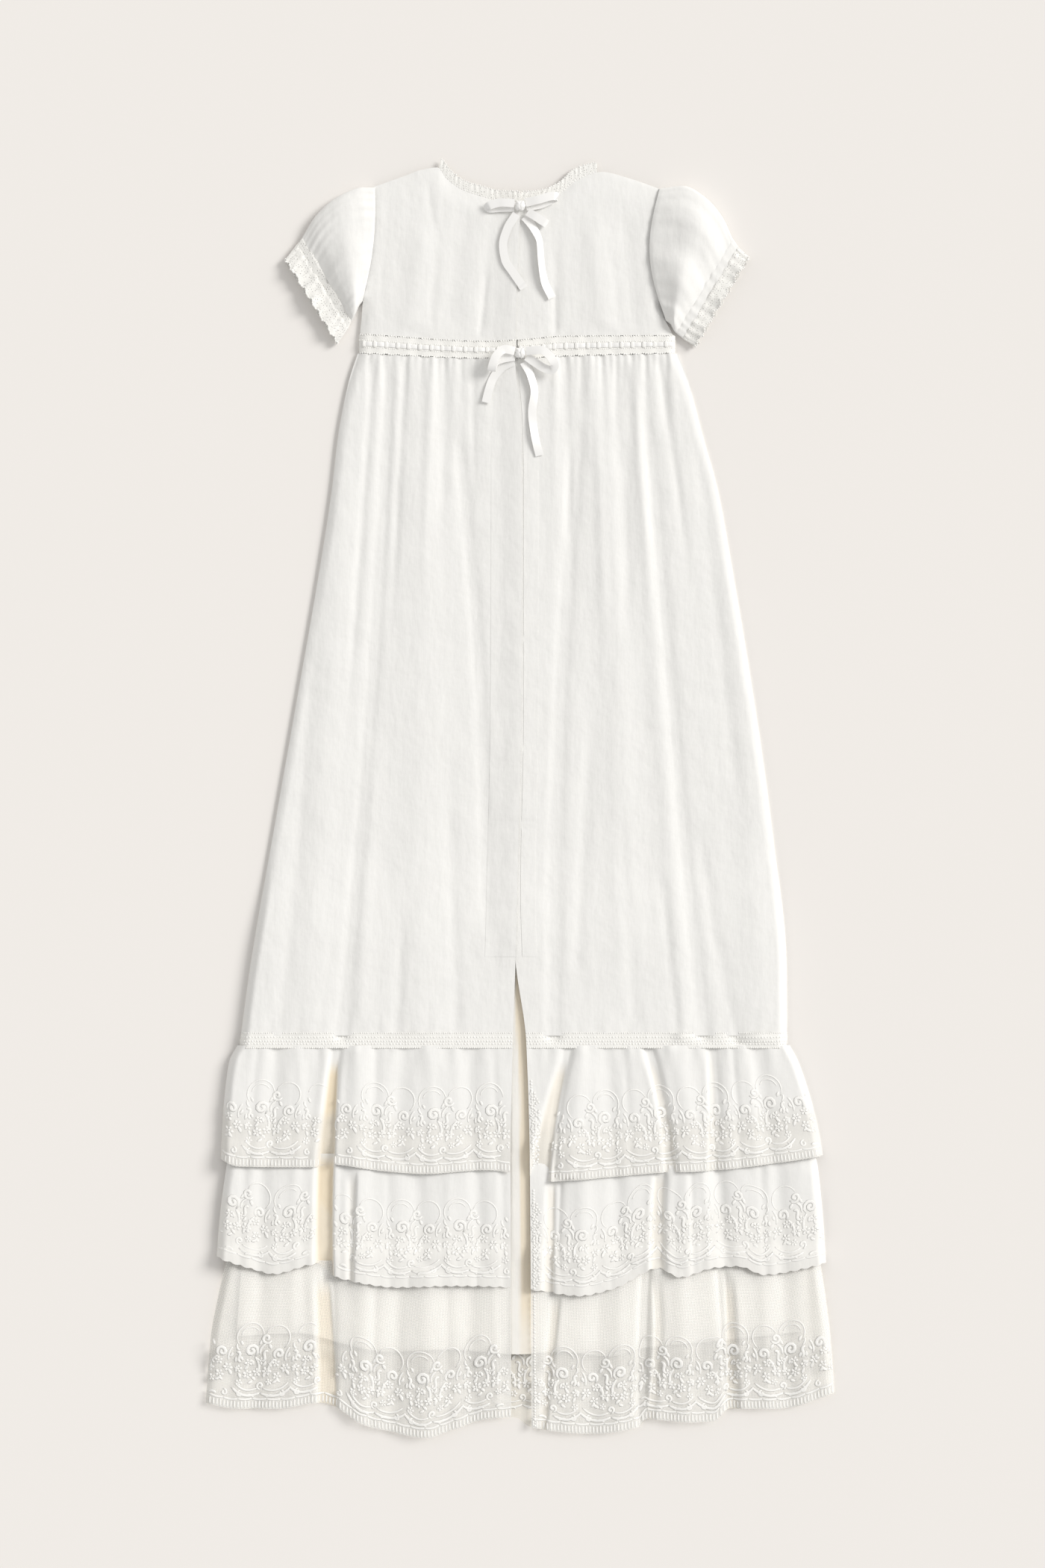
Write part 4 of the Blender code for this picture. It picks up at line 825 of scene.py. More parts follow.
class Finish:
    """One material: its tree, its cloth shader and the one way in which its nodes are added."""

    def __init__(self, name):
        self.material = bpy.data.materials.new(name)
        self.material.use_nodes = True
        self.tree = self.material.node_tree
        self.shader = self.tree.nodes["Principled BSDF"]

    def put(self, socket, value):
        """Links a value to a socket, or sets the socket to a colour or number."""
        if isinstance(value, Value):
            self.tree.links.new(value.socket, socket)
        elif isinstance(value, tuple) and len(value) == 3 and socket.type == "RGBA":
            socket.default_value = (*value, 1.0)
        else:
            socket.default_value = value

    def node(self, kind, settings=(), inputs=(), output=0):
        """Adds a node of one kind, with its settings first and then what its sockets hold."""
        made = self.tree.nodes.new("ShaderNode" + kind)
        for name, value in dict(settings).items():
            setattr(made, name, value)
        for name, value in dict(inputs).items():
            self.put(made.inputs[name], value)
        return Value(self, made.outputs[output])

    def place(self, stretch=(1.0, 1.0, 1.0)):
        """The place on the gown in millimetres, squeezed or stretched along each axis."""
        where = self.node("TexCoord", output="Object")
        scale = tuple(part / MM for part in stretch)
        return self.node("Mapping", {}, {"Vector": where, "Scale": scale})

    def along(self):
        """The place on the cloth itself in millimetres, along it and up from its edge."""
        where = self.node("UVMap", {"uv_map": "cloth"})
        return self.node("VectorMath", {"operation": "SCALE"}, {0: where, "Scale": 1.0 / MM})

    def noise(self, where, scale, detail=3.0, rough=0.55):
        """Soft uneven spots, so many to the millimetre."""
        inputs = {"Vector": where, "Scale": scale, "Detail": detail, "Roughness": rough}
        return self.node("TexNoise", {}, inputs)

    def waves(self, where, way, scale):
        """Even bands across one axis."""
        return self.node("TexWave", {"bands_direction": way}, {"Vector": where, "Scale": scale}, output=1)

    def cells(self, where, feature, pitch, uneven):
        """Distances in a pattern of cells at the given pitch."""
        inputs = {"Vector": where, "Scale": 1.0 / pitch, "Randomness": uneven}
        return self.node("TexVoronoi", {"feature": feature}, inputs)

    def blend(self, factor, first, second):
        """The first colour where the factor is 0, and the second where it is 1."""
        return self.node("Mix", {"data_type": "RGBA"}, {0: factor, 6: first, 7: second}, output=2)

    def bump(self, height, distance, strength=1.0, under=None):
        """Relief of the given height in millimetres, on top of another."""
        inputs = {"Height": height, "Distance": distance * MM, "Strength": strength}
        if under is not None:
            inputs["Normal"] = under
        return self.node("Bump", {}, inputs)

    def set(self, **sockets):
        """Sets or links sockets of the cloth shader by name."""
        for name, value in sockets.items():
            self.put(self.shader.inputs[name.replace("_", " ")], value)
        return self


def colours():
    """The colours that the panel shows."""
    return bpy.context.scene.gown_colours


def sizes():
    """The sizes that the panel shows."""
    return bpy.context.scene.gown_sizes


def cotton_finish(name, colour, crush=1.0):
    """Fine cotton lawn: a plain weave, soft crinkles that run down the cloth, and slubs.

    The weave is the sum of bands across and down, one to a thread. Four reliefs lie on each other, from
    crinkles of 6 mm to the threads. By the mesh's depth attribute the colour goes over to a painted shade,
    a warm dark colour, so that deep folds look shaded and warmed by bounced light.
    """
    finish = Finish(name)
    place = finish.place()
    crinkle = finish.noise(finish.place((1.0, 0.22, 1.0)), 0.16, 4.0, 0.5)
    crumple = finish.noise(place, 0.045, 3.0, 0.5)
    slub = finish.noise(finish.place((1.0, 0.12, 1.0)), 1.6, 2.0)
    bands = 0.314 * MM / sizes().thread_pitch
    weave = finish.waves(place, "X", bands) + finish.waves(place, "Y", bands)
    soft = finish.bump(crinkle, 0.4 * crush)
    soft = finish.bump(crumple, 1.3 * crush, under=soft)
    soft = finish.bump(slub, 0.05, under=soft)
    soft = finish.bump(weave, 0.04, 0.6, under=soft)
    tone = finish.noise(place, 0.02, 2.0, 0.5)
    shade = tuple(part * 0.975 for part in colour)
    # Painted shade: the depth attribute blends the colour towards the warm dark colour of deep folds.
    depth = finish.node("Attribute", {"attribute_name": "depth"}, output=2)
    base = finish.blend(depth, finish.blend(tone, colour, shade), tuple(colours().deep))
    finish.set(Base_Color=base, Roughness=0.92, Normal=soft)
    finish.set(Sheen_Weight=0.12, Sheen_Roughness=0.5, Specular_IOR_Level=0.25)
    return finish


def tier_finish(name, colour, solid_from, cover, ripple, ground):
    """Cloth above and net below, parted along a wavy line, with the net's threads cut out of it.

    The line stands at solid_from above the hem and wanders by ripple. Cover is how much of the net its
    threads take up, and ground is how much of the net's colour the net shows. That beige is partly the net's
    own thread and partly painted shade, for the shadow that shows through the sheer net. A thread is where
    the distance to the edge of a cell is least, and the cloth is seen through by 1 less cover between the
    threads.
    """
    finish = cotton_finish(name, colour, 0.7)
    where = finish.along()
    up = finish.node("SeparateXYZ", {}, {0: where}, output=1)
    line = up + finish.noise(where, 0.05, 2.0) * ripple
    cloth = finish.node(
        "MapRange", {"interpolation_type": "SMOOTHSTEP"},
        {"Value": line, "From Min": solid_from - 0.3 * ripple, "From Max": solid_from + 0.8 * ripple},
    )
    holes = finish.cells(where, "DISTANCE_TO_EDGE", sizes().net_pitch / MM, 0.25)
    threads = 1.0 - holes.above(0.07)
    sheer = threads * (1.0 - cover) + cover
    own = finish.shader.inputs["Base Color"].links[0].from_socket
    # Partly painted shade: the net's beige stands for its thread and for the shadow seen through it.
    net = finish.blend((1.0 - cloth) * ground, Value(finish, own), tuple(colours().net))
    finish.set(Alpha=cloth + (1.0 - cloth) * sheer, Base_Color=net)
    return finish


def lace_finish(name, colour, pitch, holes):
    """Cotton lace: rows of small holes between thick threads, and a knotted ground.

    The threads stand up as 1 less the distance to the nearest cell, and a hole is where that distance is less
    than holes.
    """
    finish = Finish(name)
    where = finish.along()
    knots = finish.noise(where, 0.9, 3.0, 0.7)
    cells = finish.cells(where, "F1", pitch, 0.35)
    soft = finish.bump(1.0 - cells, 0.2, 0.6)
    soft = finish.bump(knots, 0.3, 0.7, under=soft)
    shade = tuple(part * 0.97 for part in colour)
    finish.set(Base_Color=finish.blend(knots, shade, colour), Roughness=0.9, Normal=soft)
    finish.set(Alpha=1.0 - cells.below(holes) * 0.6 if holes > 0.0 else 1.0)
    finish.set(Sheen_Weight=0.1, Specular_IOR_Level=0.25)
    return finish


def thread_finish(name, colour):
    """Raised satin stitch: a soft shine, with fine threads laid slanting across each cord."""
    finish = Finish(name)
    place = finish.place((1.0, 1.0, 0.3))
    fibres = finish.noise(place, 2.2, 3.0, 0.6)
    tone = finish.noise(finish.place(), 0.08, 2.0)
    shade = tuple(part * 0.96 for part in colour)
    soft = finish.bump(fibres, 0.22, 0.9)
    finish.set(Base_Color=finish.blend(tone, colour, shade), Roughness=0.72, Normal=soft)
    finish.set(Sheen_Weight=0.15, Specular_IOR_Level=0.35)
    return finish


def satin_finish(name, colour):
    """Satin ribbon: a tight shine broken by fine ribs across it."""
    finish = Finish(name)
    place = finish.place()
    ribs = finish.noise(place, 1.4, 2.0)
    tone = finish.noise(place, 0.2, 2.0)
    shade = tuple(part * 0.97 for part in colour)
    finish.set(Base_Color=finish.blend(tone, colour, shade), Roughness=0.3 + ribs * 0.12)
    finish.set(Normal=finish.bump(ribs, 0.05, 0.6), Specular_IOR_Level=0.6)
    finish.set(Coat_Weight=0.35, Coat_Roughness=0.3, Sheen_Weight=0.5)
    return finish


def floor_finish(name, colour):
    """The plain pale surface, quite matt."""
    finish = Finish(name)
    tone = finish.noise(finish.place(), 0.002, 2.0)
    shade = tuple(part * 0.99 for part in colour)
    finish.set(Base_Color=finish.blend(tone, colour, shade), Roughness=0.95, Specular_IOR_Level=0.1)
    return finish


def smooth_mesh(name, points, faces, cloth=None, depth=None):
    """A smoothly shaded mesh from points in millimetres, with the place on the cloth kept as its UV map.

    Its cut edges stay crisp. Depth is the weight of the painted shade of deep folds: 1 at the bottom of a
    deep fold and 0 where the cloth lies open.
    """
    mesh = bpy.data.meshes.new(name)
    mesh.from_pydata(((points.reshape(-1, 3) - MIDDLE) * MM).tolist(), [], faces)
    mesh.polygons.foreach_set("use_smooth", np.ones(len(mesh.polygons), bool))
    edge_of_corner = np.empty(len(mesh.loops), int)
    mesh.loops.foreach_get("edge_index", edge_of_corner)
    cut_edge = np.bincount(edge_of_corner, minlength=len(mesh.edges)) == 1
    mesh.attributes.new("sharp_edge", "BOOLEAN", "EDGE").data.foreach_set("value", cut_edge)
    if cloth is not None:
        layer = mesh.uv_layers.new(name="cloth")
        corner = np.empty(len(mesh.loops), int)
        mesh.loops.foreach_get("vertex_index", corner)
        layer.data.foreach_set("uv", (cloth.reshape(-1, 2)[corner] * MM).ravel())
    # Depth carries the painted shade that the cotton's colour is blended to in deep folds.
    if depth is not None:
        mesh.attributes.new("depth", "FLOAT", "POINT").data.foreach_set("value", depth.ravel())
    mesh.update()
    return mesh


def piece(name, mesh, finish, nodes=(), wall=0.0, offset=-1.0):
    """A finished piece of the gown, riding on it and standing for its solids.

    Its wall lies beneath its points at an offset of -1, and half on each side of them at 0.
    """
    item = bpy.data.objects.new(name, mesh)
    bpy.context.scene.collection.objects.link(item)
    mesh.materials.append(finish.material)
    if wall:
        solidify = item.modifiers.new("Wall", "SOLIDIFY")
        solidify.thickness = wall * MM
        solidify.offset = offset
    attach(item, "root")
    if nodes:
        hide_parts(*nodes)
    return item


def grid_faces(rows, columns, around=False, turned=False):
    """The four-sided faces of a grid of points, closed round its rows or turned over where asked."""
    index = np.arange(rows * columns).reshape(rows, columns)
    if around:
        index = np.concatenate([index, index[:, :1]], axis=1)
    quads = np.stack([index[:-1, :-1], index[:-1, 1:], index[1:, 1:], index[1:, :-1]], axis=-1).reshape(-1, 4)
    return quads[:, ::-1] if turned else quads


def facing_up(points):
    """True where a grid's faces look up as they are: where their normals' heights add up to more than 0."""
    across = points[:-1, 1:] - points[:-1, :-1]
    down = points[1:, :-1] - points[:-1, :-1]
    return float(np.cross(across, down)[..., 2].sum()) > 0.0


def cloth_measure(points):
    """The place on the cloth of each point of a grid: the lengths run along its rows and up from its last."""
    along = np.linalg.norm(np.diff(points, axis=1), axis=2)
    along = np.concatenate([np.zeros((len(points), 1)), np.cumsum(along, axis=1)], axis=1)
    up = np.linalg.norm(np.diff(points, axis=0), axis=2)
    up = np.concatenate([np.cumsum(up[::-1], axis=0)[::-1], np.zeros((1, points.shape[1]))], axis=0)
    return np.stack([along, up], axis=-1)


def panel(name, points, finish, node, wall=0.5, cloth=None, depth=None):
    """A panel of cloth through a grid of points that lie on its upper face, with its wall beneath."""
    faces = grid_faces(*points.shape[:2], turned=not facing_up(points))
    measure = cloth_measure(points) if cloth is None else cloth
    mesh = smooth_mesh(name, points, faces.tolist(), measure, depth)
    return piece(name, mesh, finish, [node], wall)


def lapped(rings, first, last):
    """Rings with one more at each end, which carries the cloth past its seam.

    Each lies on from the end ring by the given share of the step to its neighbour, and the first is drawn in.
    """
    before = rings[:1] + (rings[:1] - rings[1:2]) * first
    after = rings[-1:] + (rings[-1:] - rings[-2:-1]) * last
    before[..., 2] *= HEAD_TUCK
    return np.concatenate([before, rings, after])


def tube(name, rings, finish, node, wall):
    """A tube of cloth through rings of points, with its wall inside.

    Its faces are turned over where the sum of their normals along the way out from the middle is less than 0.
    """
    centre = rings.mean(axis=1, keepdims=True)
    across = np.roll(rings, -1, axis=1)[:-1] - rings[:-1]
    down = rings[1:] - rings[:-1]
    out = (np.cross(across, down) * (rings - centre)[:-1]).sum()
    faces = grid_faces(*rings.shape[:2], around=True, turned=out < 0.0)
    mesh = smooth_mesh(name, rings, faces.tolist(), cloth_measure(rings))
    return piece(name, mesh, finish, [node], wall)


def satin_piece(name, strip, satin):
    """A ribbon through a grid of points, with half of its wall on each side of them."""
    mesh = smooth_mesh(name, strip, grid_faces(*strip.shape[:2]).tolist(), cloth_measure(strip))
    return piece(name + "_satin", mesh, satin, [name], RIBBON_WALL, 0.0)


def cord_mesh(name, lines, widths, heights, ends=0.35, fullness=6.0):
    """Cords carried along many lines at once.

    Each line is a row of places, and its cord is an oval of the given width and height about them, narrowed
    to the given share at both ends. The oval stands square to the line, with its width level. Its size falls
    off from the middle as the fullness-th power of the way to an end, so that a fullness of 2 makes a leaf.
    """
    count, steps = lines.shape[:2]
    sides_round = 6
    way = np.gradient(lines, axis=1)
    way = way / np.maximum(np.linalg.norm(way, axis=2, keepdims=True), 1e-9)
    level = np.stack([-way[..., 1], way[..., 0], np.zeros(way.shape[:2])], axis=-1)
    level = level / np.maximum(np.linalg.norm(level, axis=2, keepdims=True), 1e-9)
    up = np.cross(way, level)
    t = np.linspace(-1.0, 1.0, steps)
    taper = ends + (1.0 - ends) * (1.0 - np.abs(t) ** fullness)
    angle = 2.0 * np.pi * np.arange(sides_round) / sides_round
    wide = (0.5 * np.asarray(widths)[:, None] * taper)[..., None, None] * np.cos(angle)[:, None]
    high = (0.5 * np.asarray(heights)[:, None] * taper)[..., None, None] * np.sin(angle)[:, None]
    points = lines[:, :, None, :] + wide * level[:, :, None, :] + high * up[:, :, None, :]
    ring = grid_faces(steps, sides_round, around=True)
    start = (np.arange(count) * steps * sides_round)[:, None, None]
    quads = (ring[None] + start).reshape(-1, 4)[:, ::-1]
    near = np.arange(sides_round)[None, :] + start[:, 0]
    far = near[:, ::-1] + (steps - 1) * sides_round
    return smooth_mesh(name, points, quads.tolist() + near.tolist() + far.tolist())


def bobble_mesh(name, centres, wide, high):
    """Small raised knots: each a dome of two six-sided rings and a top, as wide and as high as given."""
    turns = np.arange(6)
    angle = np.pi / 3.0 * turns
    flat = np.stack([np.cos(angle), np.sin(angle)], axis=-1)
    low = np.concatenate([flat, np.full((6, 1), -0.2)], axis=1)
    middle = np.concatenate([flat * 0.85, np.full((6, 1), 0.55)], axis=1)
    shape = np.concatenate([low, middle, np.array([[0.0, 0.0, 1.0]])])
    size = np.stack([wide * 0.5, wide * 0.5, high], axis=-1)
    points = centres[:, None, :] + shape[None] * size[:, None, :]
    start = (np.arange(len(centres)) * len(shape))[:, None]
    after = np.roll(turns, -1)
    quads = np.stack([turns, after, after + 6, turns + 6], axis=-1)
    tops = np.stack([turns + 6, after + 6, np.full(6, 12)], axis=-1)
    quads = (quads[None] + start[:, :, None]).reshape(-1, 4)
    tops = (tops[None] + start[:, :, None]).reshape(-1, 3)
    base = turns[::-1][None] + start
    return smooth_mesh(name, points, quads.tolist() + tops.tolist() + base.tolist())


def puckers(x, y, top, first, last, count, size, reach, seed):
    """Uneven gathers that hang from a seam: many narrow ridges and valleys that fade away below it.

    Each is a bell across, which widens as it hangs, times a bell down. Its place, width, depth and length are
    drawn from a seeded row of numbers.
    """
    draw = np.random.default_rng(seed)
    centre = np.linspace(first, last, count) + draw.uniform(-0.35, 0.35, count) * (last - first) / count
    height = size * draw.uniform(0.35, 1.0, count) * np.where(np.arange(count) % 2, -0.8, 1.0)
    width = abs(last - first) / count * draw.uniform(0.38, 0.62, count)
    length = reach * draw.uniform(0.35, 1.35, count)
    lean = draw.uniform(-0.03, 0.03, count)
    total = np.zeros(np.broadcast(x, y).shape)
    drop = np.maximum(top - y, 0.0)
    for k in range(count):
        shown = np.exp(-((drop / length[k]) ** 2))
        spread = width[k] * (1.0 + 0.8 * drop / length[k])
        total = total + height[k] * shown * np.exp(-(((x - centre[k] - lean[k] * drop) / spread) ** 2))
    return total


def gap_shape(x, y, rows):
    """Deep folds between two flaps: how far the cloth dips, from 0 to 1, and how high its lips stand.

    Each fold has a flat floor about the parabola through its three places. Its side is a smooth step, steep
    under the higher lip and gentle elsewhere, and a lip is a bell just outside the step.
    """
    dip = np.zeros(np.broadcast(x, y).shape)
    lip = dip.copy()
    for top, bottom, x0, x1, x2, half_top, half_bottom, lip_left, lip_right, depth in rows:
        t = np.clip((y - top) / (bottom - top), 0.0, 1.0)
        centre = x0 + (4.0 * x1 - 3.0 * x0 - x2) * t + (2.0 * x0 + 2.0 * x2 - 4.0 * x1) * t**2
        half = half_top + (half_bottom - half_top) * t
        inside = (y <= top + 1.0) * ease(t * 5.0 + 0.05)
        left_slope, right_slope = (STEEP, GENTLE) if lip_left > lip_right else (GENTLE, STEEP)
        left = ease(1.0 - (centre - half - x) / left_slope)
        right = ease(1.0 - (x - centre - half) / right_slope)
        dip = np.maximum(dip, depth * inside * np.minimum(left, right))
        side_left = np.exp(-(((x - centre + half + left_slope + 1.0) / LIP_WIDTH) ** 2))
        side_right = np.exp(-(((x - centre - half - right_slope - 1.0) / LIP_WIDTH) ** 2))
        lip = np.maximum(lip, LIP_SHARE * inside * np.maximum(lip_left * side_left, lip_right * side_right))
    return dip, lip


def skirt_surface(x, y, side, gathers):
    """Upper face of the back of the skirt: its solid's, with some of its folds eased out, gathers and lap."""
    middle = back_edges(y)[side]
    left, right = sides(SKIRT_SIDES, y)
    main = np.maximum(folds(x, y, SKIRT_FOLDS), DEEPEST_EASE)
    eased = gathers + folds(x, y, SOFT_FOLDS) - FOLD_EASE * main
    z = skirt_height(x, y) + WALL + roll(x, left, right) * eased
    if side == 0:
        z = z + overlap_lift(x, y, middle)
    return z


def waist_gathers(x, y, side):
    """Gathers that hang from the waist lace, with none in the placket, and short ones above the lace band."""
    first, last = ((-26.4, -123.8), (27.5, 118.6))[side]
    top = waist_line(x, 2)
    fine = puckers(x, y, top, first, last, 34, 0.75, 24.0, 11 + side)
    long = puckers(x, y, top, first, last, 15, 0.9, 90.0, 21 + side)
    hem = puckers(x, -y, 182.7, -213.1, 204.4, 70, 0.3, 14.0, 31)
    return fine + long + hem


def even_rows(first, last, count, close=0.0):
    """Rows from the first y to the last, drawn closer together near the first by the square of the way."""
    t = np.linspace(0.0, 1.0, count)
    return first + (last - first) * (t + close * (t * t - t))


def build_skirt(finish):
    """The two halves of the back of the skirt, each from its back edge to its side seam.

    Columns stand closer together towards the side, and the top rows are carried up to the waist lace.
    """
    rows, columns = 118, 108
    share = 1.0 - (1.0 - np.linspace(0.0, 1.0, columns)) ** 1.25
    for side, name in enumerate(("left", "right")):
        y = even_rows(*SKIRT_RUN, rows, 0.35)
        outer = sides(SKIRT_SIDES, y)[side]
        inner = back_edges(y)[side]
        x = inner[:, None] + (outer - inner)[:, None] * share[None, :]
        yy = np.repeat(y[:, None], columns, axis=1)
        start = waist_line(x[:1], 2) - SEAM
        yy = yy + (start - y[0]) * ease((yy - WAIST_EASED) / (SKIRT_RUN[0] - WAIST_EASED))
        z = skirt_surface(x, yy, side, waist_gathers(x, yy, side))
        cloth = panel("skirt_" + name + "_cloth", lifted(x, yy, z), finish, "skirt_" + name)


def build_plackets(finish):
    """The bands that edge the back opening: the skirt's own face, raised, creased across, and lower outside.

    The right one shows only from where it comes out under the lap.
    """
    y = even_rows(*PLACKET_RUN, 110)
    share = np.linspace(0.0, 1.0, PLACKET_COLUMNS)
    for side, name in enumerate(("left", "right")):
        start = (0.0, RIGHT_PLACKET / 3.0)[side]
        width = (LEFT_PLACKET, RIGHT_PLACKET)[side]
        out = (-1.0, 1.0)[side] * (start + (width - start) * share)
        x = back_edges(y)[side][:, None] + out[None, :]
        yy = np.repeat(y[:, None], PLACKET_COLUMNS, axis=1)
        z = skirt_surface(x, yy, side, 0.0) + 0.24 + folds(yy, x, CROSS_CREASES[side])
        z = z - 0.08 * ease((share - 0.5) / 0.5)[None, :]
        node = "placket_" + name
        band = panel(node + "_band", lifted(x, yy, z), finish, node, 0.25)


def build_stage():
    """The camera, the lamp, the light all round, and the pale surface that the gown lies on.

    The camera's lens is its film times its height over the length that it frames.
    """
    scene = bpy.context.scene
    data = bpy.data.cameras.new("camera")
    data.sensor_fit = "VERTICAL"
    data.sensor_height = FILM
    data.lens = FILM * CAMERA_HEIGHT / VIEW_TALL
    data.clip_end = 20.0
    camera = bpy.data.objects.new("camera", data)
    camera.location = (VIEW_MIDDLE[0] * MM, VIEW_MIDDLE[1] * MM, (CAMERA_HEIGHT + CAMERA_RAISED) * MM)
    scene.collection.objects.link(camera)
    scene.camera = camera
    corners = FLOOR_HALF * np.array(((-1.0, -1.0, 0.0), (1.0, -1.0, 0.0), (1.0, 1.0, 0.0), (-1.0, 1.0, 0.0)))
    mesh = smooth_mesh("floor", corners, [[0, 1, 2, 3]])
    mesh.materials.append(floor_finish("floor", tuple(colours().floor)).material)
    floor = bpy.data.objects.new("floor", mesh)
    scene.collection.objects.link(floor)
    data = bpy.data.lights.new("window", "SUN")
    data.angle = np.radians(LAMP_WIDTH)
    data.energy = LAMP_POWER
    data.color = LAMP_COLOUR
    lamp = bpy.data.objects.new("window", data)
    lamp.location = LAMP_FROM
    lamp.rotation_euler = (-Vector(LAMP_FROM)).to_track_quat("-Z", "Y").to_euler()
    scene.collection.objects.link(lamp)
    world = bpy.data.worlds.new("studio")
    world.use_nodes = True
    light = world.node_tree.nodes["Background"]
    light.inputs["Color"].default_value = WORLD_COLOUR
    light.inputs["Strength"].default_value = WORLD_LIGHT
    scene.world = world
    scene.view_settings.view_transform = "Standard"


def build_bodice(finish, lace, thread):
    """The two halves of the back of the bodice, with fine creases that fade out at the side seam."""
    rows, columns = 58, 70
    u = np.linspace(0.0, 1.0, columns + 1)[None, :]
    v = np.linspace(0.0, 1.0, rows + 1)[:, None]
    for side, name in enumerate(("left", "right")):
        grid = bodice_grid(side, columns, rows)
        x, y = grid[..., 0], grid[..., 1]
        z = bodice_height(x, y, u, v) + WALL
        z = z + (1.0 - u**6) * folds(x, y, BODICE_CREASES)
        if side == 0:
            z = z + overlap_lift(x, y, back_edges(y)[0])
        half = panel("bodice_" + name + "_cloth", lifted(x, y, z), finish, "bodice_" + name)
        build_neck_lace(side, name, grid[-1], z[-1], lace, thread)


def build_neck_lace(side, name, edge, height, finish, thread):
    """The gathered lace of the neck: a strip from the bodice's edge out, whose outer edge waves up and down.

    Its scallops are the size of a cosine along the edge, and grow with the cube of the way out.
    """
    count = 200
    last = round(0.571 * (len(edge) - 1))
    sewn_line = np.concatenate([edge[:last + 1], height[:last + 1, None]], axis=1)
    reach = run(sewn_line)
    at = np.linspace(0.0, reach[-1], count + 1)
    inner = np.stack([np.interp(at, reach, sewn_line[:, k]) for k in range(3)], axis=1)
    outer = path((NECK_LEFT, NECK_RIGHT)[side], count + 1)
    share = np.linspace(0.0, 1.0, 12)[:, None]
    beat = at / 4.4
    frill = np.sin(2.0 * np.pi * beat + 0.8 * np.sin(beat)) * (0.6 + 0.4 * np.sin(1.7 * beat))
    ends = ease(at / 3.0) * ease((reach[-1] - at) / 3.0)
    scallop = 1.0 - 0.08 * (1.0 - ends) * share + 0.09 * ends * share**3 * np.abs(np.cos(np.pi * at / 3.6))
    x = inner[:, 0] + (outer[:, 0] - inner[:, 0]) * share * scallop
    y = inner[:, 1] + (outer[:, 1] - inner[:, 1]) * share * scallop
    z = inner[:, 2] + 0.9 * share - 0.5 * share**2 + 0.22 * frill * ease(share * 1.2)
    node = "neck_lace_" + name
    rows = lifted(x, y, z)
    strip = panel(node + "_frill", rows, finish, node, 0.4)
    trims = [
        edge_bobbles(node + "_picots", rows[-1], 2.0, 1.3, 0.2, thread),
        edge_bobbles(node + "_seam", rows[1], 2.2, 1.3, 0.15, thread),
    ]


def edge_bobbles(name, line, pitch, wide, high, finish):
    """A row of small knots at an even pitch along a line of points, each a little larger or smaller."""
    reach = run(line)
    at = np.arange(0.5 * pitch, reach[-1], pitch)
    centres = np.stack([np.interp(at, reach, line[:, k]) for k in range(3)], axis=1)
    beat = 1.0 + 0.18 * np.sin(2.3 * np.arange(len(at)))
    mesh = bobble_mesh(name, centres, wide * beat, high * beat)
    return piece(name, mesh, finish)


def build_waist(lace, satin, thread):
    """The beading: scalloped lace with a satin ribbon that shows in its windows, between flat bars.

    The scallops are the size of a sine, one to a bar. Between two bars the ribbon swells as a cosine along
    and a square across.
    """
    count, lines_up = 220, 14
    share = np.linspace(0.0, 1.0, lines_up)[:, None]
    for side, name in enumerate(("left", "right")):
        ends = ((-3.2, -125.6), (-2.4, 120.3))[side]
        along = np.linspace(*ends, count + 1)
        scallop = 0.8 * np.abs(np.sin(np.pi * along / BAR_PITCH))
        top = waist_line(along, 1) + scallop - 0.5
        bottom = waist_line(along, 2) - scallop + 0.5
        y = top + (bottom - top) * share
        x = np.repeat(along[None, :], lines_up, axis=0)
        ripple = 0.2 * np.sin(2.0 * np.pi * along / 19.0) + 0.1 * np.sin(2.0 * np.pi * along / 11.0 + 1.0)
        z = REST_LIFT + roll(x, -125.6, 120.3) * (BODY_PUFF + 0.3 + ripple[None, :]) + WALL
        if side == 0:
            z = z + overlap_lift(x, y, along[0])
        rows = lifted(x, y, z)
        node = "waist_lace_" + name
        strip = panel(node + "_beading", rows, lace, node, 0.5)
        trims = [
            edge_bobbles(f"waist_{part}_{name}", rows[k], pitch, wide, high, thread)
            for part, k, pitch, wide, high in (
                ("upper_picots", 0, 1.9, 1.5, 0.35), ("lower_picots", -1, 1.9, 1.5, 0.35),
                ("upper_ridge", 4, 1.5, 1.1, 0.3), ("lower_ridge", 9, 1.5, 1.1, 0.3),
            )
        ]
        band = rows[5:9, 3:-3]
        swell = 0.5 - 0.5 * np.cos(2.0 * np.pi * band[..., 0] / BAR_PITCH)
        bowed = 1.0 - (np.linspace(-1.0, 1.0, 4)[:, None]) ** 2 * 0.5
        band = band + lifted(0.0, 0.0, 0.25 + 0.6 * swell * bowed)
        satin_node = "waist_ribbon_" + name
        ribbon = panel(satin_node + "_satin", band, satin, satin_node, 0.3)
        bars = np.arange(np.ceil(min(ends) / BAR_PITCH), np.floor(max(ends) / BAR_PITCH) + 1.0) * BAR_PITCH
        pick = [np.abs(along - bar).argmin() for bar in bars]
        lines = rows[4:10][:, pick].transpose(1, 0, 2) + (0.0, 0.0, 0.45)
        mesh = cord_mesh("waist_bars_" + name, lines, np.full(len(pick), 3.6), np.full(len(pick), 0.7))
        trims.append(piece("waist_bars_" + name, mesh, thread))


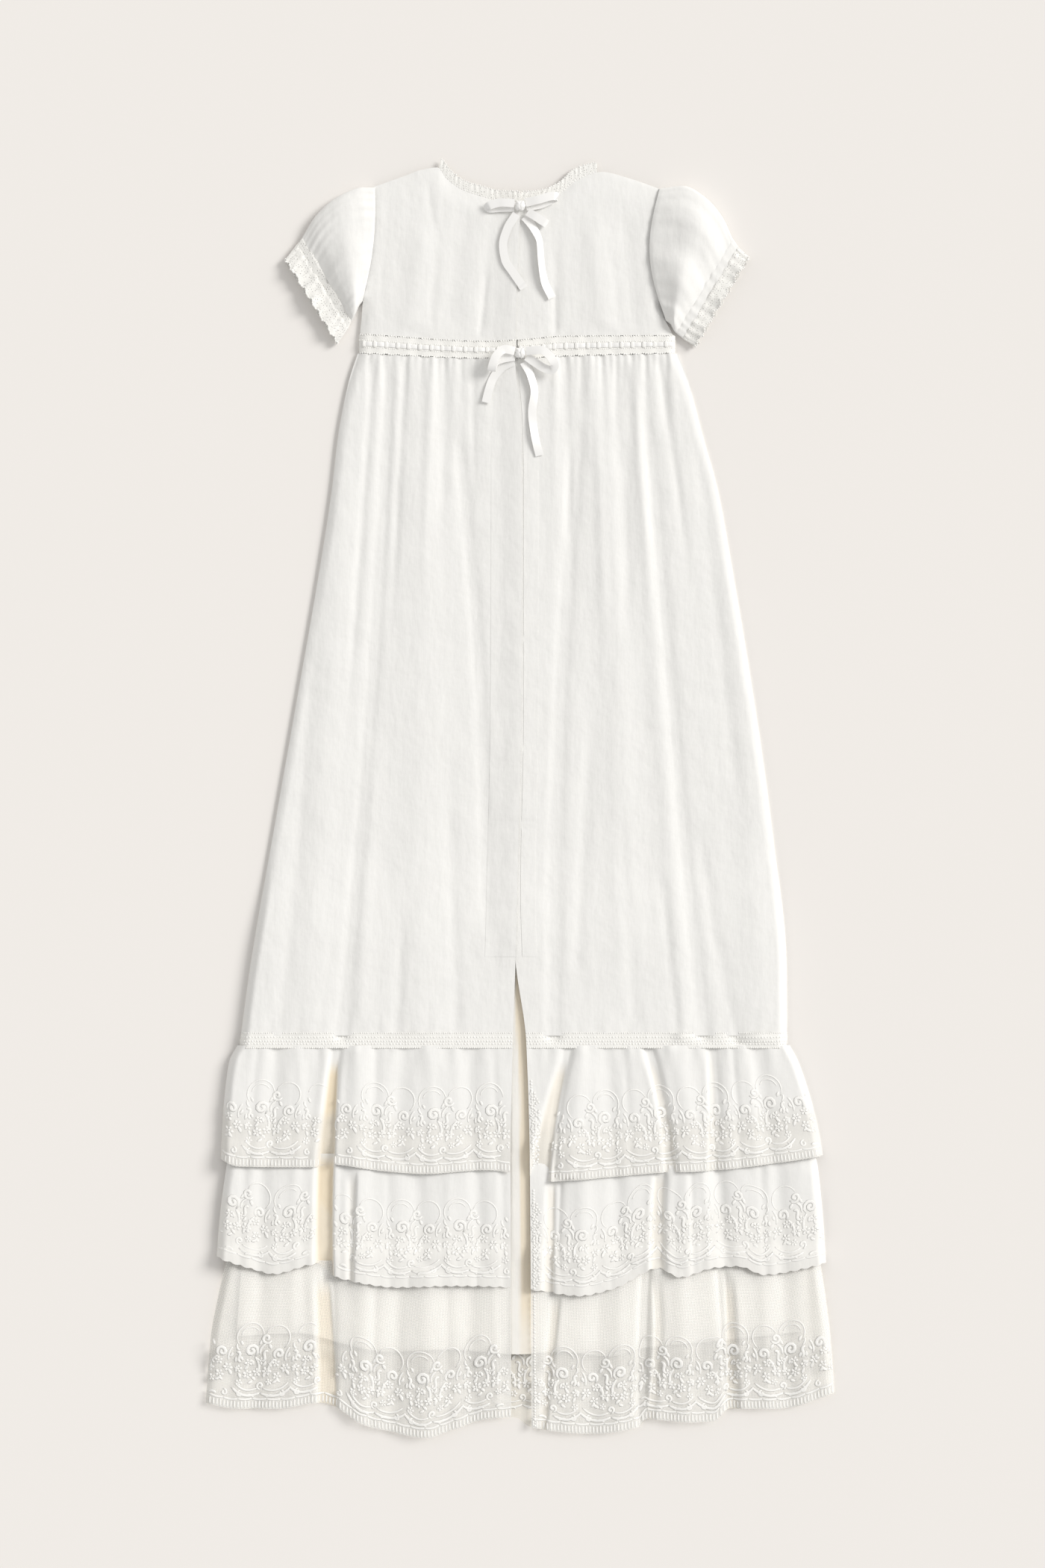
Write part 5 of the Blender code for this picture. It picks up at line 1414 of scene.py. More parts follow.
def sleeve_rings(rows, count, around, folds_around, twist, fine, ruffle, seed):
    """Rings of a puffed sleeve, flat beneath and full on top, with fine gathers at both ends.

    Round each ring, the place runs from its top edge over the back and home again beneath. On top it rises as
    a power of the sine, with a wave of main gathers and a seeded sum of seven finer ones, which are strongest
    at the head and the cuff. A ruffle carries the last rings in and out along the sleeve.
    """
    s = np.linspace(0.0, 1.0, count + 1)
    places = column(rows, 0)
    top = np.stack([curve(s, places, column(rows, 1)), curve(s, places, column(rows, 2))], axis=1)
    low = np.stack([curve(s, places, column(rows, 3)), curve(s, places, column(rows, 4))], axis=1)
    height, gather, bow = (curve(s, places, column(rows, k))[:, None] for k in (5, 6, 7))
    angle = 2.0 * np.pi * np.arange(around)[None, :] / around
    rise = np.sin(angle)
    length = np.linalg.norm(low - top, axis=1)[:, None]
    way = ((low - top) / length)[:, None, :]
    square = np.stack([-way[..., 1], way[..., 0]], axis=-1)
    share = (1.0 - np.cos(angle)) / 2.0
    height = height + 0.35 * (height.max() - height) * np.exp(-((s[:, None] / 0.22) ** 2))
    middle = np.minimum(3.6, 0.45 * height)
    wave = 0.5 * gather * np.cos(folds_around * angle + twist * s[:, None]) * np.abs(rise)
    draw = np.random.default_rng(seed)
    close = 0.0
    for _ in range(7):
        beats = draw.integers(13, 34)
        shift = draw.uniform(0.0, 6.28)
        drift = draw.uniform(-1.2, 1.2)
        close = close + np.cos(beats * angle + shift + drift * s[:, None])
    ends = 0.25 + np.exp(-((s / 0.34) ** 2)) + np.exp(-(((1.0 - s) / 0.36) ** 2))
    wave = wave + fine * 0.3 * close * ends[:, None] * np.abs(rise)
    up = middle + SLEEVE_PUFF * (height - middle) * np.abs(rise) ** SLEEVE_FLATNESS + wave
    down = middle * (1.0 - np.abs(rise) ** 0.45)
    z = np.where(rise >= 0.0, up, down)
    plan = top[:, None, :] + (share * length)[..., None] * way
    plan = plan + (bow * np.sin(np.pi * share))[..., None] * square
    outward = (top[-1] + low[-1]) - (top[0] + low[0])
    outward = outward / np.linalg.norm(outward)
    sway = np.sin(19.0 * angle + 1.5 * np.sin(4.0 * angle)) + 0.4 * np.sin(47.0 * angle)
    plan = plan + (ruffle * (s[:, None] ** 2) * sway)[..., None] * outward
    return lifted(plan[..., 0], plan[..., 1], z)


def build_sleeves(cotton, open_lace, thread):
    """Both puffed sleeves with their cuffs and frills, each a tube about its solid's own rings.

    The table's columns: node, sections, rings, points round, main gathers, their twist, fine gathers, ruffle,
    finish, flat width, length and area.
    """
    pieces = (
        ("sleeve_left", LEFT_SLEEVE, 54, 176, 7, 0.8, 0.5, 0.0, cotton, 0.2, 0.062, 0.0095),
        ("sleeve_left_lace", LEFT_CUFF_LACE, 7, 176, 6, 0.0, 0.12, 0.0, open_lace, 0.13, 0.01, 0.0012),
        ("sleeve_left_frill", LEFT_FRILL, 11, 300, 8, 0.0, 0.5, 0.9, open_lace, 0.155, 0.0155, 0.0023),
        ("sleeve_right", RIGHT_SLEEVE, 54, 176, 7, -0.9, 0.35, 0.0, cotton, 0.21, 0.065, 0.0105),
        ("sleeve_right_casing", RIGHT_CASING, 8, 176, 6, 0.0, 0.3, 0.0, cotton, 0.14, 0.01, 0.0013),
        ("sleeve_right_frill", RIGHT_FRILL, 11, 300, 8, 0.0, 0.5, 1.1, open_lace, 0.155, 0.0155, 0.0023),
    )
    for number, row in enumerate(pieces):
        name, rows, count, around, waves, twist, fine, ruffle, finish, wide, long, area = row
        rings = sleeve_rings(rows, count, around, waves, twist, fine, ruffle, 40 + number)
        ends = (2.0, 0.7) if rows in (LEFT_SLEEVE, RIGHT_SLEEVE) else (1.4, 0.3)
        sewn = tube(name + "_cloth", lapped(rings, *ends), finish, name, 0.4)
        if name.endswith("frill"):
            closed = np.concatenate([rings[-1], rings[-1][:1]])
            edge_bobbles(name + "_picots", closed, 1.9, 1.4, 0.35, thread)


def ribbon_strip(rows, count, base, across=9):
    """Points of a satin ribbon swept along its path, and the path itself.

    Its width lies level and square to the way, carried on from each place to the next so that it never flips,
    and is then turned about the way by the table's degrees. The middle stands up over the edges by a square.
    """
    line = path(rows, count + 1)
    middle = line[:, :3].copy()
    middle[:, 2] += base(middle[:, 0], middle[:, 1])
    way = np.gradient(middle, axis=0)
    way = way / np.linalg.norm(way, axis=1)[:, None]
    flat = np.cross(way, (0.0, 0.0, 1.0))
    level = flat.copy()
    for i in range(1, len(level)):
        carried = level[i - 1] - way[i] * np.dot(level[i - 1], way[i])
        level[i] = carried + flat[i] * np.sign(np.dot(flat[i], carried))
        level[i] = level[i] / np.linalg.norm(level[i])
    level[0] = level[0] / np.linalg.norm(level[0])
    up = np.cross(level, way)
    turn = np.radians(line[:, 3])[:, None]
    wide = level * np.cos(turn) + up * np.sin(turn)
    over = np.cross(wide, way)
    over = over * np.sign(over[:, 2:3] + 1e-9)
    place = np.linspace(-1.0, 1.0, across)
    cup = 0.03 * (1.0 - place**2)
    strip = middle[:, None] + 0.5 * RIBBON_WIDTH * place[None, :, None] * wide[:, None]
    return strip + cup[None, :, None] * over[:, None], middle


def build_bow_loops(satin):
    """The five loops of the two bows, each one ribbon that goes out and comes back."""
    loops = (
        ("neck_bow_loop_left", NECK_LOOP_LEFT, neck_top),
        ("neck_bow_loop_right", NECK_LOOP_RIGHT, neck_top),
        ("neck_bow_loop_short", NECK_LOOP_SHORT, neck_top),
        ("waist_bow_loop_left", WAIST_LOOP_LEFT, waist_top),
        ("waist_bow_loop_right", WAIST_LOOP_RIGHT, waist_top),
    )
    for name, rows, base in loops:
        strip, middle = ribbon_strip(rows, 70, base)
        loop = satin_piece(name, strip, satin)


def build_knots(satin):
    """The two knots: squared domes with slanting creases and a pinch across the top.

    A ring is a circle squared off by the cube root of the cubes of its sine and cosine, and swollen by two
    cosines that slant up the knot.
    """
    around, rings = 48, 26
    angle = np.linspace(0.0, 2.0 * np.pi, around, endpoint=False)[None, :]
    height = np.linspace(-0.5 * np.pi, 0.5 * np.pi, rings)[:, None]
    crease = 1.0 + 0.07 * np.cos(5.0 * angle + 2.0 * height) + 0.05 * np.cos(9.0 * angle - 3.0 * height)
    box = np.abs(np.cos(angle)) ** 3 + np.abs(np.sin(angle)) ** 3
    out = 0.5 * np.cos(height) ** 0.7 * crease * box ** (-1.0 / 3.0)
    pinch = 0.12 * np.exp(-((np.abs(np.cos(angle)) / 0.3) ** 2)) * np.maximum(np.sin(height), 0.0)
    faces = grid_faces(rings, around, around=True).tolist()
    bottom = np.arange(around)
    faces += [bottom[::-1].tolist(), (bottom + (rings - 1) * around).tolist()]
    for name, place, low, size in KNOTS:
        x = place[0] + size[0] * out * np.cos(angle)
        y = place[1] + size[1] * out * np.sin(angle)
        z = low + 0.5 * size[2] + 0.5 * size[2] * (np.sin(height) - pinch)
        piece(name + "_satin", smooth_mesh(name, lifted(x, y, z), faces), satin, [name])


def build_tails(satin):
    """The four free ribbon ends, each a flat cord from its knot to its cut end."""
    tails = (
        ("neck_tail_left", NECK_TAIL_LEFT, neck_top),
        ("neck_tail_right", NECK_TAIL_RIGHT, neck_top),
        ("waist_tail_left", WAIST_TAIL_LEFT, skirt_top),
        ("waist_tail_right", WAIST_TAIL_RIGHT, skirt_top),
    )
    for name, rows, base in tails:
        strip, middle = ribbon_strip(rows, 60, base)
        tail = satin_piece(name, strip, satin)
        line = (middle - MIDDLE) * MM


def tier_surface(x, y, number):
    """Upper face of one tier and how far it dips: its solid's form, the deep gaps between flaps, and gathers.

    A gap goes down to the layer below, which for the lowest tier sinks to the surface under the underskirt's
    hem. The gathers hang from the seam and fade out in the gaps.
    """
    left, right = sides(TIER_SIDES[number], y)
    edge = roll(x, left, right)
    z = tier_height(x, y, number) + WALL
    dip, lip = gap_shape(x, y, TIER_GAPS[number])
    floor = (REST_LIFT + edge * (OUTER_BACK - REST_LIFT)) + 0.15
    if number == 2:
        floor = floor - edge * UNDER_STACK * ease((GAP_SINK[0] - y) / GAP_SINK[1])
    floor = np.minimum(floor, z)
    z = z + edge * lip
    z = z + (floor - z) * dip * GAP_DEPTH
    top = TIER_TOPS[number]
    gathers = puckers(x, y, top, -230.5, 233.4, 84, 0.5, 16.0, 51 + number)
    gathers = gathers + puckers(x, y, top, -230.5, 233.4, 36, 0.55, 46.0, 61 + number)
    soft = TIER_EASE * tier_folds(x, y, number, SOFT_TIER_FOLDS)
    return z + edge * (1.0 - dip) * (gathers + soft), dip


def hem_line(number, across):
    """The y of a tier's hem at each x."""
    rows = TIER_HEMS[number]
    return curve(across, column(rows, 0), column(rows, 1))


def tier_ends(number, side):
    """The x of the free edge and of the side of one half of a tier, level with the middle of its hem."""
    level = np.array([TIER_HEMS[number][5][1]])
    return back_edges(level)[side][0], sides(TIER_SIDES[number], level)[side][0]


def on_tier(number, side, along, up):
    """Plan of a place on a tier, given as its distance from the back edge and its height above the hem."""
    inner, outer = tier_ends(number, side)
    share = np.clip(along / abs(outer - inner), 0.004, 0.996)
    y = hem_line(number, inner + (outer - inner) * share) + up
    outer = sides(TIER_SIDES[number], y)[side]
    inner = back_edges(y)[side]
    return inner + (outer - inner) * share, y


def build_tiers(finishes, thread):
    """The three tiers of the back, by number and side, each with the knots that edge its opening.

    The columns run from the free edge to the side, and the rows in even shares from the seam to the hem,
    whose teeth are the size of a sine.
    """
    made = {}
    for number, rows in enumerate((32, 32, 40)):
        for side, name in enumerate(("left", "right")):
            inner, outer = tier_ends(number, side)
            width = abs(outer - inner)
            t = np.linspace(0.0, 1.0, 246)
            share = t - 0.06 * t * (1.0 - t) * (1.0 - 2.0 * t)
            teeth = HEM_TOOTH[number] * np.abs(np.sin(np.pi * share * width / TOOTH_PITCH[number]))
            hem = hem_line(number, inner + (outer - inner) * share) - teeth
            down = np.linspace(0.0, 1.0, rows)[:, None]
            top = TIER_TOPS[number]
            y = top + (hem[None, :] - top) * down
            outers = sides(TIER_SIDES[number], y)[side]
            inners = back_edges(y)[side]
            x = inners + (outers - inners) * share[None, :]
            z, dip = tier_surface(x, y, number)
            measure = np.stack([share[None, :] * width + 0.0 * y, y - hem[None, :]], axis=-1)
            points = lifted(x, y, z)
            node = f"tier_{number + 1}_{name}"
            finish = finishes[number]
            # Painted shade: 0.95 times the square of the dip, stored as depth, turns deep gaps towards the
            # warm dark fold colour.
            cloth = panel(node + "_cloth", points, finish, node, 0.35, measure, 0.95 * dip**2)
            cloth.visible_shadow = number < 2
            trim = []
            if side == 1:
                trim.append(edge_bobbles(node + "_edge", points[8:, 3], 2.3, 2.0, 0.5, thread))
            made[number, side] = cloth, trim
    return made


def spiral(x, y, radius, turns, start, way):
    """A line that winds in towards its middle: its reach falls with the 0.9th power of its turning."""
    t = np.linspace(0.0, 1.0, STEPS)
    angle = np.radians(start) + way * 2.0 * np.pi * turns * t
    reach = radius * (1.0 - 0.86 * t**0.9)
    return np.stack([x + reach * np.cos(angle), y + reach * np.sin(angle)], axis=-1)


def arc(x, y, radius, first, last):
    """A part of a circle between two angles in degrees."""
    angle = np.radians(np.linspace(first, last, STEPS))
    return np.stack([x + radius * np.cos(angle), y + radius * np.sin(angle)], axis=-1)


def bend(x0, y0, x1, y1, bow, steps=STEPS):
    """A line from one place to another that swells to one side as a parabola, by the bow in the middle."""
    t = np.linspace(0.0, 1.0, steps)
    swell = 4.0 * bow * t * (1.0 - t)
    length = np.hypot(x1 - x0, y1 - y0)
    return np.stack([
        x0 + (x1 - x0) * t - (y1 - y0) / length * swell,
        y0 + (y1 - y0) * t + (x1 - x0) / length * swell,
    ], axis=-1)


def scroll(x, y, length, curl, lean, way):
    """A line whose way turns with the square of the distance from its middle, so that both ends curl."""
    t = np.linspace(-1.0, 1.0, STEPS)
    angle = np.radians(lean) + way * curl * t * t
    step = length / (STEPS - 1)
    along = np.stack([np.cos(angle), np.sin(angle)], axis=-1) * step
    line = np.cumsum(along, axis=0)
    return line - line.mean(axis=0) + (x, y)


def blossom(x, y, petals, reach, turn):
    """Short lines from the middle of a flower out along each of its petals."""
    angle = 2.0 * np.pi * np.arange(petals) / petals + turn
    way = np.stack([np.cos(angle), np.sin(angle)], axis=-1)
    t = np.linspace(0.22, 1.0, LEAF_STEPS)[None, :, None]
    return (x, y) + reach * t * way[:, None, :]


def motif():
    """One repeat of the embroidery, from its lower left corner: cords and leaves with widths, and knots.

    Swags and small curls stand on the border. A belt of blossoms and leaves rises from them, and spirals and
    thin loops lie over the belt.
    """
    cords = [
        (bend(-1.0, 16.5, 23.5, 12.0, -4.2), 1.9), (bend(23.5, 12.0, 45.5, 16.5, -4.2), 1.9),
        (bend(1.5, 20.0, 21.5, 15.5, -3.4), 1.3), (bend(26.0, 15.5, 43.0, 20.0, -3.4), 1.3),
        (spiral(6.5, 11.6, 2.7, 1.1, 80.0, 1.0), 1.5), (spiral(39.0, 11.4, 2.7, 1.1, 100.0, -1.0), 1.5),
        (spiral(23.4, 17.6, 3.1, 1.2, 270.0, 1.0), 1.6), (bend(12.5, 9.6, 18.5, 8.8, 1.0), 1.7),
        (bend(28.0, 8.8, 34.0, 9.6, 1.0), 1.7),
        (spiral(9.5, 43.2, 4.6, 1.35, 300.0, 1.0), 2.2), (spiral(31.5, 45.4, 5.6, 1.5, 235.0, -1.0), 2.4),
        (bend(13.0, 39.0, 17.0, 26.0, 2.2), 1.6), (bend(28.5, 40.5, 26.5, 27.0, -2.4), 1.8),
        (scroll(20.8, 41.5, 12.0, 2.7, 75.0, 1.0), 1.9), (scroll(41.0, 41.0, 11.0, 2.7, 110.0, -1.0), 1.9),
        (spiral(20.0, 55.0, 4.4, 1.3, 200.0, 1.0), 1.9), (bend(20.5, 50.6, 24.5, 42.5, 1.6), 1.5),
        (arc(11.5, 55.5, 9.8, 20.0, 232.0), 0.9), (arc(33.0, 56.5, 10.6, -38.0, 176.0), 0.9),
        (arc(33.0, 56.5, 7.4, 10.0, 150.0), 0.8), (bend(1.5, 48.0, 4.0, 37.0, 1.4), 1.3),
        (bend(43.0, 51.0, 41.0, 46.0, 1.0), 1.2),
    ]
    leaves = (
        (1.5, 25.5, 5.0, 60.0, 2.2), (8.0, 20.6, 4.6, 20.0, 2.0), (14.5, 20.0, 4.6, 150.0, 2.0),
        (21.5, 23.8, 4.8, 95.0, 2.1), (27.5, 21.4, 4.6, 40.0, 2.0), (33.5, 19.6, 4.4, 150.0, 2.0),
        (39.5, 23.2, 4.8, 70.0, 2.1), (44.0, 29.5, 4.6, 110.0, 2.1), (15.5, 32.0, 4.6, 60.0, 2.0),
        (22.5, 33.0, 4.8, 120.0, 2.1), (29.5, 33.5, 4.6, 70.0, 2.0), (36.5, 30.5, 4.4, 130.0, 2.0),
        (3.5, 40.0, 4.6, 120.0, 2.0), (15.8, 46.5, 4.8, 60.0, 2.1), (25.8, 49.8, 4.8, 115.0, 2.0),
        (37.8, 37.2, 4.6, 55.0, 2.0), (44.0, 36.0, 4.6, 95.0, 2.0), (38.6, 49.5, 4.4, 60.0, 1.8),
    )
    lines = []
    widths = []
    for x, y, length, lean, wide in leaves:
        angle = np.radians(lean)
        lines.append(bend(x, y, x + length * np.cos(angle), y + length * np.sin(angle), 0.5, LEAF_STEPS))
        widths.append(FULLER * wide)
    blossoms = (
        (4.5, 31.5, 6, 3.9), (10.8, 25.2, 5, 3.6), (12.0, 35.6, 5, 3.4), (19.0, 29.0, 6, 4.0),
        (26.6, 28.0, 5, 3.6), (34.0, 26.6, 6, 3.9), (41.4, 31.0, 5, 3.4), (33.4, 35.8, 5, 3.4),
        (24.0, 37.2, 5, 3.2), (17.0, 20.6, 5, 2.8), (40.4, 20.2, 5, 3.0),
    )
    knots = []
    for k, (x, y, petals, reach) in enumerate(blossoms):
        lines.extend(blossom(x, y, petals, reach, 0.7 * k))
        widths.extend([0.66 * reach] * petals)
        knots.append((x, y, 1.8))
    drawn, thick = zip(*cords)
    return np.array(drawn), np.array(thick), np.array(lines), np.array(widths), np.array(knots)


def placed(number, side, lines, lift):
    """Lines of the embroidery carried onto their tier, and how deep in a fold each one's deepest point is."""
    x, y = on_tier(number, side, lines[..., 0], lines[..., 1])
    z, dip = tier_surface(x, y, number)
    return lifted(x, y, z + lift), dip.max(axis=-1)


def repeats(number, side, lines, widths, starts, width):
    """The same lines in every repeat, without those that run off the cloth or into a deep fold."""
    many = np.concatenate([lines + (start, 0.0) for start in starts])
    wide = np.tile(widths, len(starts))
    inside = (many[..., 0].min(axis=1) > 1.0) & (many[..., 0].max(axis=1) < width - 1.0)
    points, depth = placed(number, side, many[inside], 0.1)
    return points[depth < DEEP], wide[inside][depth < DEEP]


def build_border(number, side, name, width, thread):
    """The border along a tier's hem: swags over short ribs, which the second tier has none of."""
    sewn = []
    if number != 1:
        ribs = np.arange(RIB_PITCH * 0.5, width - 0.5, RIB_PITCH)
        tops = 5.9 + 0.4 * np.sin(1.7 * np.arange(len(ribs)))
        lines = np.array([bend(at, 0.1, at, top, 0.0, 5) for at, top in zip(ribs, tops)])
        points, depth = placed(number, side, lines, 0.02)
        points = points[depth < BORDER_DEEP]
        mesh = cord_mesh(name, points, np.full(len(points), 1.35), np.full(len(points), 0.5))
        sewn.append(piece(name + "_ribs", mesh, thread))
    starts = np.arange(0.0, width - 4.0, MOTIF / 4.0)
    lines = np.array([bend(at, 7.6, min(at + MOTIF / 4.0, width), 7.6, -0.7) for at in starts])
    points, depth = placed(number, side, lines, 0.02)
    points = points[depth < BORDER_DEEP]
    mesh = cord_mesh(name, points, np.full(len(points), 1.7), np.full(len(points), 0.5))
    sewn.append(piece(name + "_border", mesh, thread))
    return sewn


def build_embroidery(tiers, thread):
    """Cords, leaves and knots of the embroidery on each tier, and the border along its hem.

    The right halves of the upper two tiers also have a spray of blossoms up their free edge.
    """
    cords, cord_widths, leaves, leaf_widths, knots = motif()
    for (number, side), (cloth, trim) in tiers.items():
        half = ("left", "right")[side]
        name = f"tier_{number + 1}_{half}"
        inner, outer = tier_ends(number, side)
        width = abs(outer - inner)
        high = RELIEF[number]
        starts = np.arange(-MOTIF * MOTIF_START[number], width, MOTIF)
        points, wide = repeats(number, side, cords, FULLER * cord_widths, starts, width)
        mesh = cord_mesh(name, points, wide, np.full(len(wide), high))
        sewn = [piece(name + "_cords", mesh, thread)]
        points, wide = repeats(number, side, leaves, leaf_widths, starts, width)
        if side == 1 and number < 2:
            rises = np.arange(5.0, 68.0, 4.6)
            spray = np.concatenate([blossom(4.6 + 1.6 * np.sin(2.0 * up), up, 5, 3.1, up) for up in rises])
            spray = placed(number, side, spray, 0.15)[0]
            points = np.concatenate([points, spray])
            wide = np.concatenate([wide, np.full(len(spray), 2.2)])
        mesh = cord_mesh(name, points, wide, np.full(len(wide), high), 0.15, 2.0)
        sewn.append(piece(name + "_leaves", mesh, thread))
        many = np.concatenate([knots + (start, 0.0, 0.0) for start in starts])
        many = many[(many[:, 0] > 1.5) & (many[:, 0] < width - 1.5)]
        points, depth = placed(number, side, many[:, None, :2], 0.0)
        points, many = points[depth < DEEP, 0], many[depth < DEEP]
        mesh = bobble_mesh(name, points, many[:, 2], np.full(len(many), high))
        sewn.append(piece(name + "_knots", mesh, thread))
        sewn.extend(build_border(number, side, name, width, thread))
        sewn + trim


def build_bands(lace, thread):
    """The lace insertion between the skirt and the first tier: gathered, with rows of knots along it."""
    columns = 200
    share = np.linspace(0.0, 1.0, columns)
    y = np.linspace(-183.0, -194.3, 12)
    for side, name in enumerate(("left", "right")):
        outer = sides(SKIRT_SIDES, y)[side]
        inner = back_edges(y)[side]
        x = inner[:, None] + (outer - inner)[:, None] * share[None, :]
        yy = np.repeat(y[:, None], columns, axis=1)
        z = skirt_height(x, yy) + WALL + 0.3
        z = z + 0.2 * puckers(x, yy, -181.0, -213.1, 204.4, 60, 0.6, 60.0, 71)
        rows = lifted(x, yy, z)
        band = panel("lace_band_" + name + "_lace", rows, lace, "lace_band_" + name, 0.5)
        trims = [
            edge_bobbles(f"lace_band_{name}_{part}", rows[k], pitch, wide, 0.32, thread)
            for part, k, pitch, wide in (
                ("upper", 0, 1.7, 1.3), ("upper_ridge", 3, 2.4, 1.5), ("middle", 6, 2.1, 1.6),
                ("lower_ridge", 8, 2.4, 1.5), ("lower", 11, 1.7, 1.3),
            )
        ]


def build_front_skirt(cotton, lace):
    """The front of the skirt and its band of lace: flat sheets from side to side on their solids' places."""
    t = np.linspace(0.0, 1.0, 40)[None, :]
    y = np.linspace(341.0, -183.3, 40)
    left, right = sides(SKIRT_SIDES, y)
    x = left[:, None] + (right - left)[:, None] * t
    yy = np.repeat(y[:, None], 40, axis=1)
    yy[0] = waist_line(x[0], 2) - SEAM
    front = panel("skirt_front_cloth", lifted(x, yy, WALL), cotton, "skirt_front", WALL)
    y = np.array([-183.7, -192.2])
    left, right = sides(SKIRT_SIDES, y)
    x = left[:, None] + (right - left)[:, None] * t
    points = lifted(x, np.repeat(y[:, None], 40, axis=1), WALL)
    band = panel("lace_band_front_lace", points, lace, "lace_band_front", WALL)


def build_front_tiers(cotton, net, thread):
    """The three tiers of the front: flat sheets, of which the lower two step up onto the one above."""
    places = np.linspace(0.0, 1.0, 140)
    shares = np.linspace(0.0, 1.0, 12)[:, None]
    for number, finish in enumerate((cotton, cotton, net)):
        hems = TIER_HEMS[number]
        across = hems[0][0] + (hems[-1][0] - hems[0][0]) * places
        hem = hem_line(number, across) + (2.5 if number < 2 else -1.0)
        top = TIER_TOPS[number]
        y = top + (hem[None, :] - top) * shares
        left, right = sides(TIER_SIDES[number], y)
        x = left + (right - left) * places[None, :]
        rise = layer_step(top - y, FRONT_DROP) if number else 0.0
        measure = np.stack([x - x.min(), y - hem[None, :]], axis=-1)
        node = f"tier_{number + 1}_front"
        points = lifted(x, y, rise + WALL)
        wall = (0.9, 0.9, 0.4)[number]
        cloth = panel(node + "_cloth", points, finish, node, wall, measure)
        cloth.visible_shadow = number < 2
        trim = build_slit_embroidery(node, thread) if number == 2 else []


def build_slit_embroidery(node, thread):
    """One repeat of cords and leaves on the front's lowest tier, where it shows in the slit of the back."""
    cords, cord_widths, leaves, leaf_widths, _ = motif()
    low = hem_line(2, np.array([0.3]))[0] - 1.0
    trim = []
    for part, lines, wide, ends, fullness in (
        ("cords", cords, cord_widths, 0.35, 6.0), ("leaves", leaves, leaf_widths, 0.15, 2.0),
    ):
        spots = lifted(lines[..., 0] + 0.3 - 0.5 * MOTIF, lines[..., 1] + low, WALL + 0.2)
        mesh = cord_mesh(f"{node}_{part}", spots, wide, np.full(len(wide), RELIEF[2]), ends, fullness)
        trim.append(piece(f"{node}_{part}", mesh, thread))
    return trim


def build_underskirt(lining):
    """The underskirt: both halves of its back, and its front, which runs from side to side.

    In the slit of the back the front swells up by smooth steps, and right of a line it is given painted
    shade, the warm dark colour of deep folds.
    """
    for name, first, last, height, area in (
        ("underskirt_left", 0, 0, UNDER_BACK, 0.066), ("underskirt_right", 1, 1, UNDER_BACK, 0.066),
        ("underskirt_front", 0, 1, UNDER_FRONT, 0.132),
    ):
        whole = first != last
        places = np.linspace(0.0, 1.0, 220 if whole else 60)
        x, y = under_plan(first, last, places, 26)
        fold = ease((x + 10.1) / 1.5) * ease((10.7 - x) / 1.5) * whole
        seam = back_edges(y)[0] + 6.4 * ease((-140.4 - y) / 110.2)
        # Painted shade for the slit: warm darkening right of the lap's seam, weaker towards the hem.
        painted_slit_shade = 0.75 * fold * ease((x - seam) / 1.5) * (1.0 - 0.6 * ease((-389.8 - y) / 34.8))
        points = lifted(x, y, height + WALL + 2.9 * fold)
        under = panel(name + "_cloth", points, lining, name, 0.8, depth=painted_slit_shade)


def build_front_bodice(cotton, lace):
    """The front of the bodice and the lace of its waist: flat sheets within the outlines of the back's."""
    left_side = bodice_side(0, 24)
    right_side = bodice_side(1, 24)
    top = path(BODICE_LEFT_TOP[::-1] + BODICE_RIGHT_TOP[1:], 49)
    top[:, 1] -= 1.2
    left_side[-1] = top[0]
    right_side[-1] = top[-1]
    along = np.linspace(-125.0, 118.6, 49)
    bottom = np.stack([along, waist_line(along, 1) + SEAM], axis=1)
    left_side[0] = bottom[0]
    right_side[0] = bottom[-1]
    grid = patch(bottom, top, left_side, right_side)
    points = lifted(grid[..., 0], grid[..., 1], WALL)
    front = panel("bodice_front_cloth", points, cotton, "bodice_front", WALL)
    along = np.linspace(-125.6, 119.8, 60)
    rows = np.stack([waist_line(along, 1), waist_line(along, 2)])
    points = lifted(np.repeat(along[None, :], 2, axis=0), rows, WALL)
    band = panel("waist_lace_front_lace", points, lace, "waist_lace_front", WALL)


class GownSizes(bpy.types.PropertyGroup):
    """Sizes of the threads of the cloth and of the net."""

    thread_pitch: bpy.props.FloatProperty(
        name="Thread pitch", description="Distance between two threads of the lawn", default=0.0005,
        unit="LENGTH",
    )
    net_pitch: bpy.props.FloatProperty(
        name="Net pitch", description="Distance between two holes of the net", default=0.0011,
        unit="LENGTH",
    )


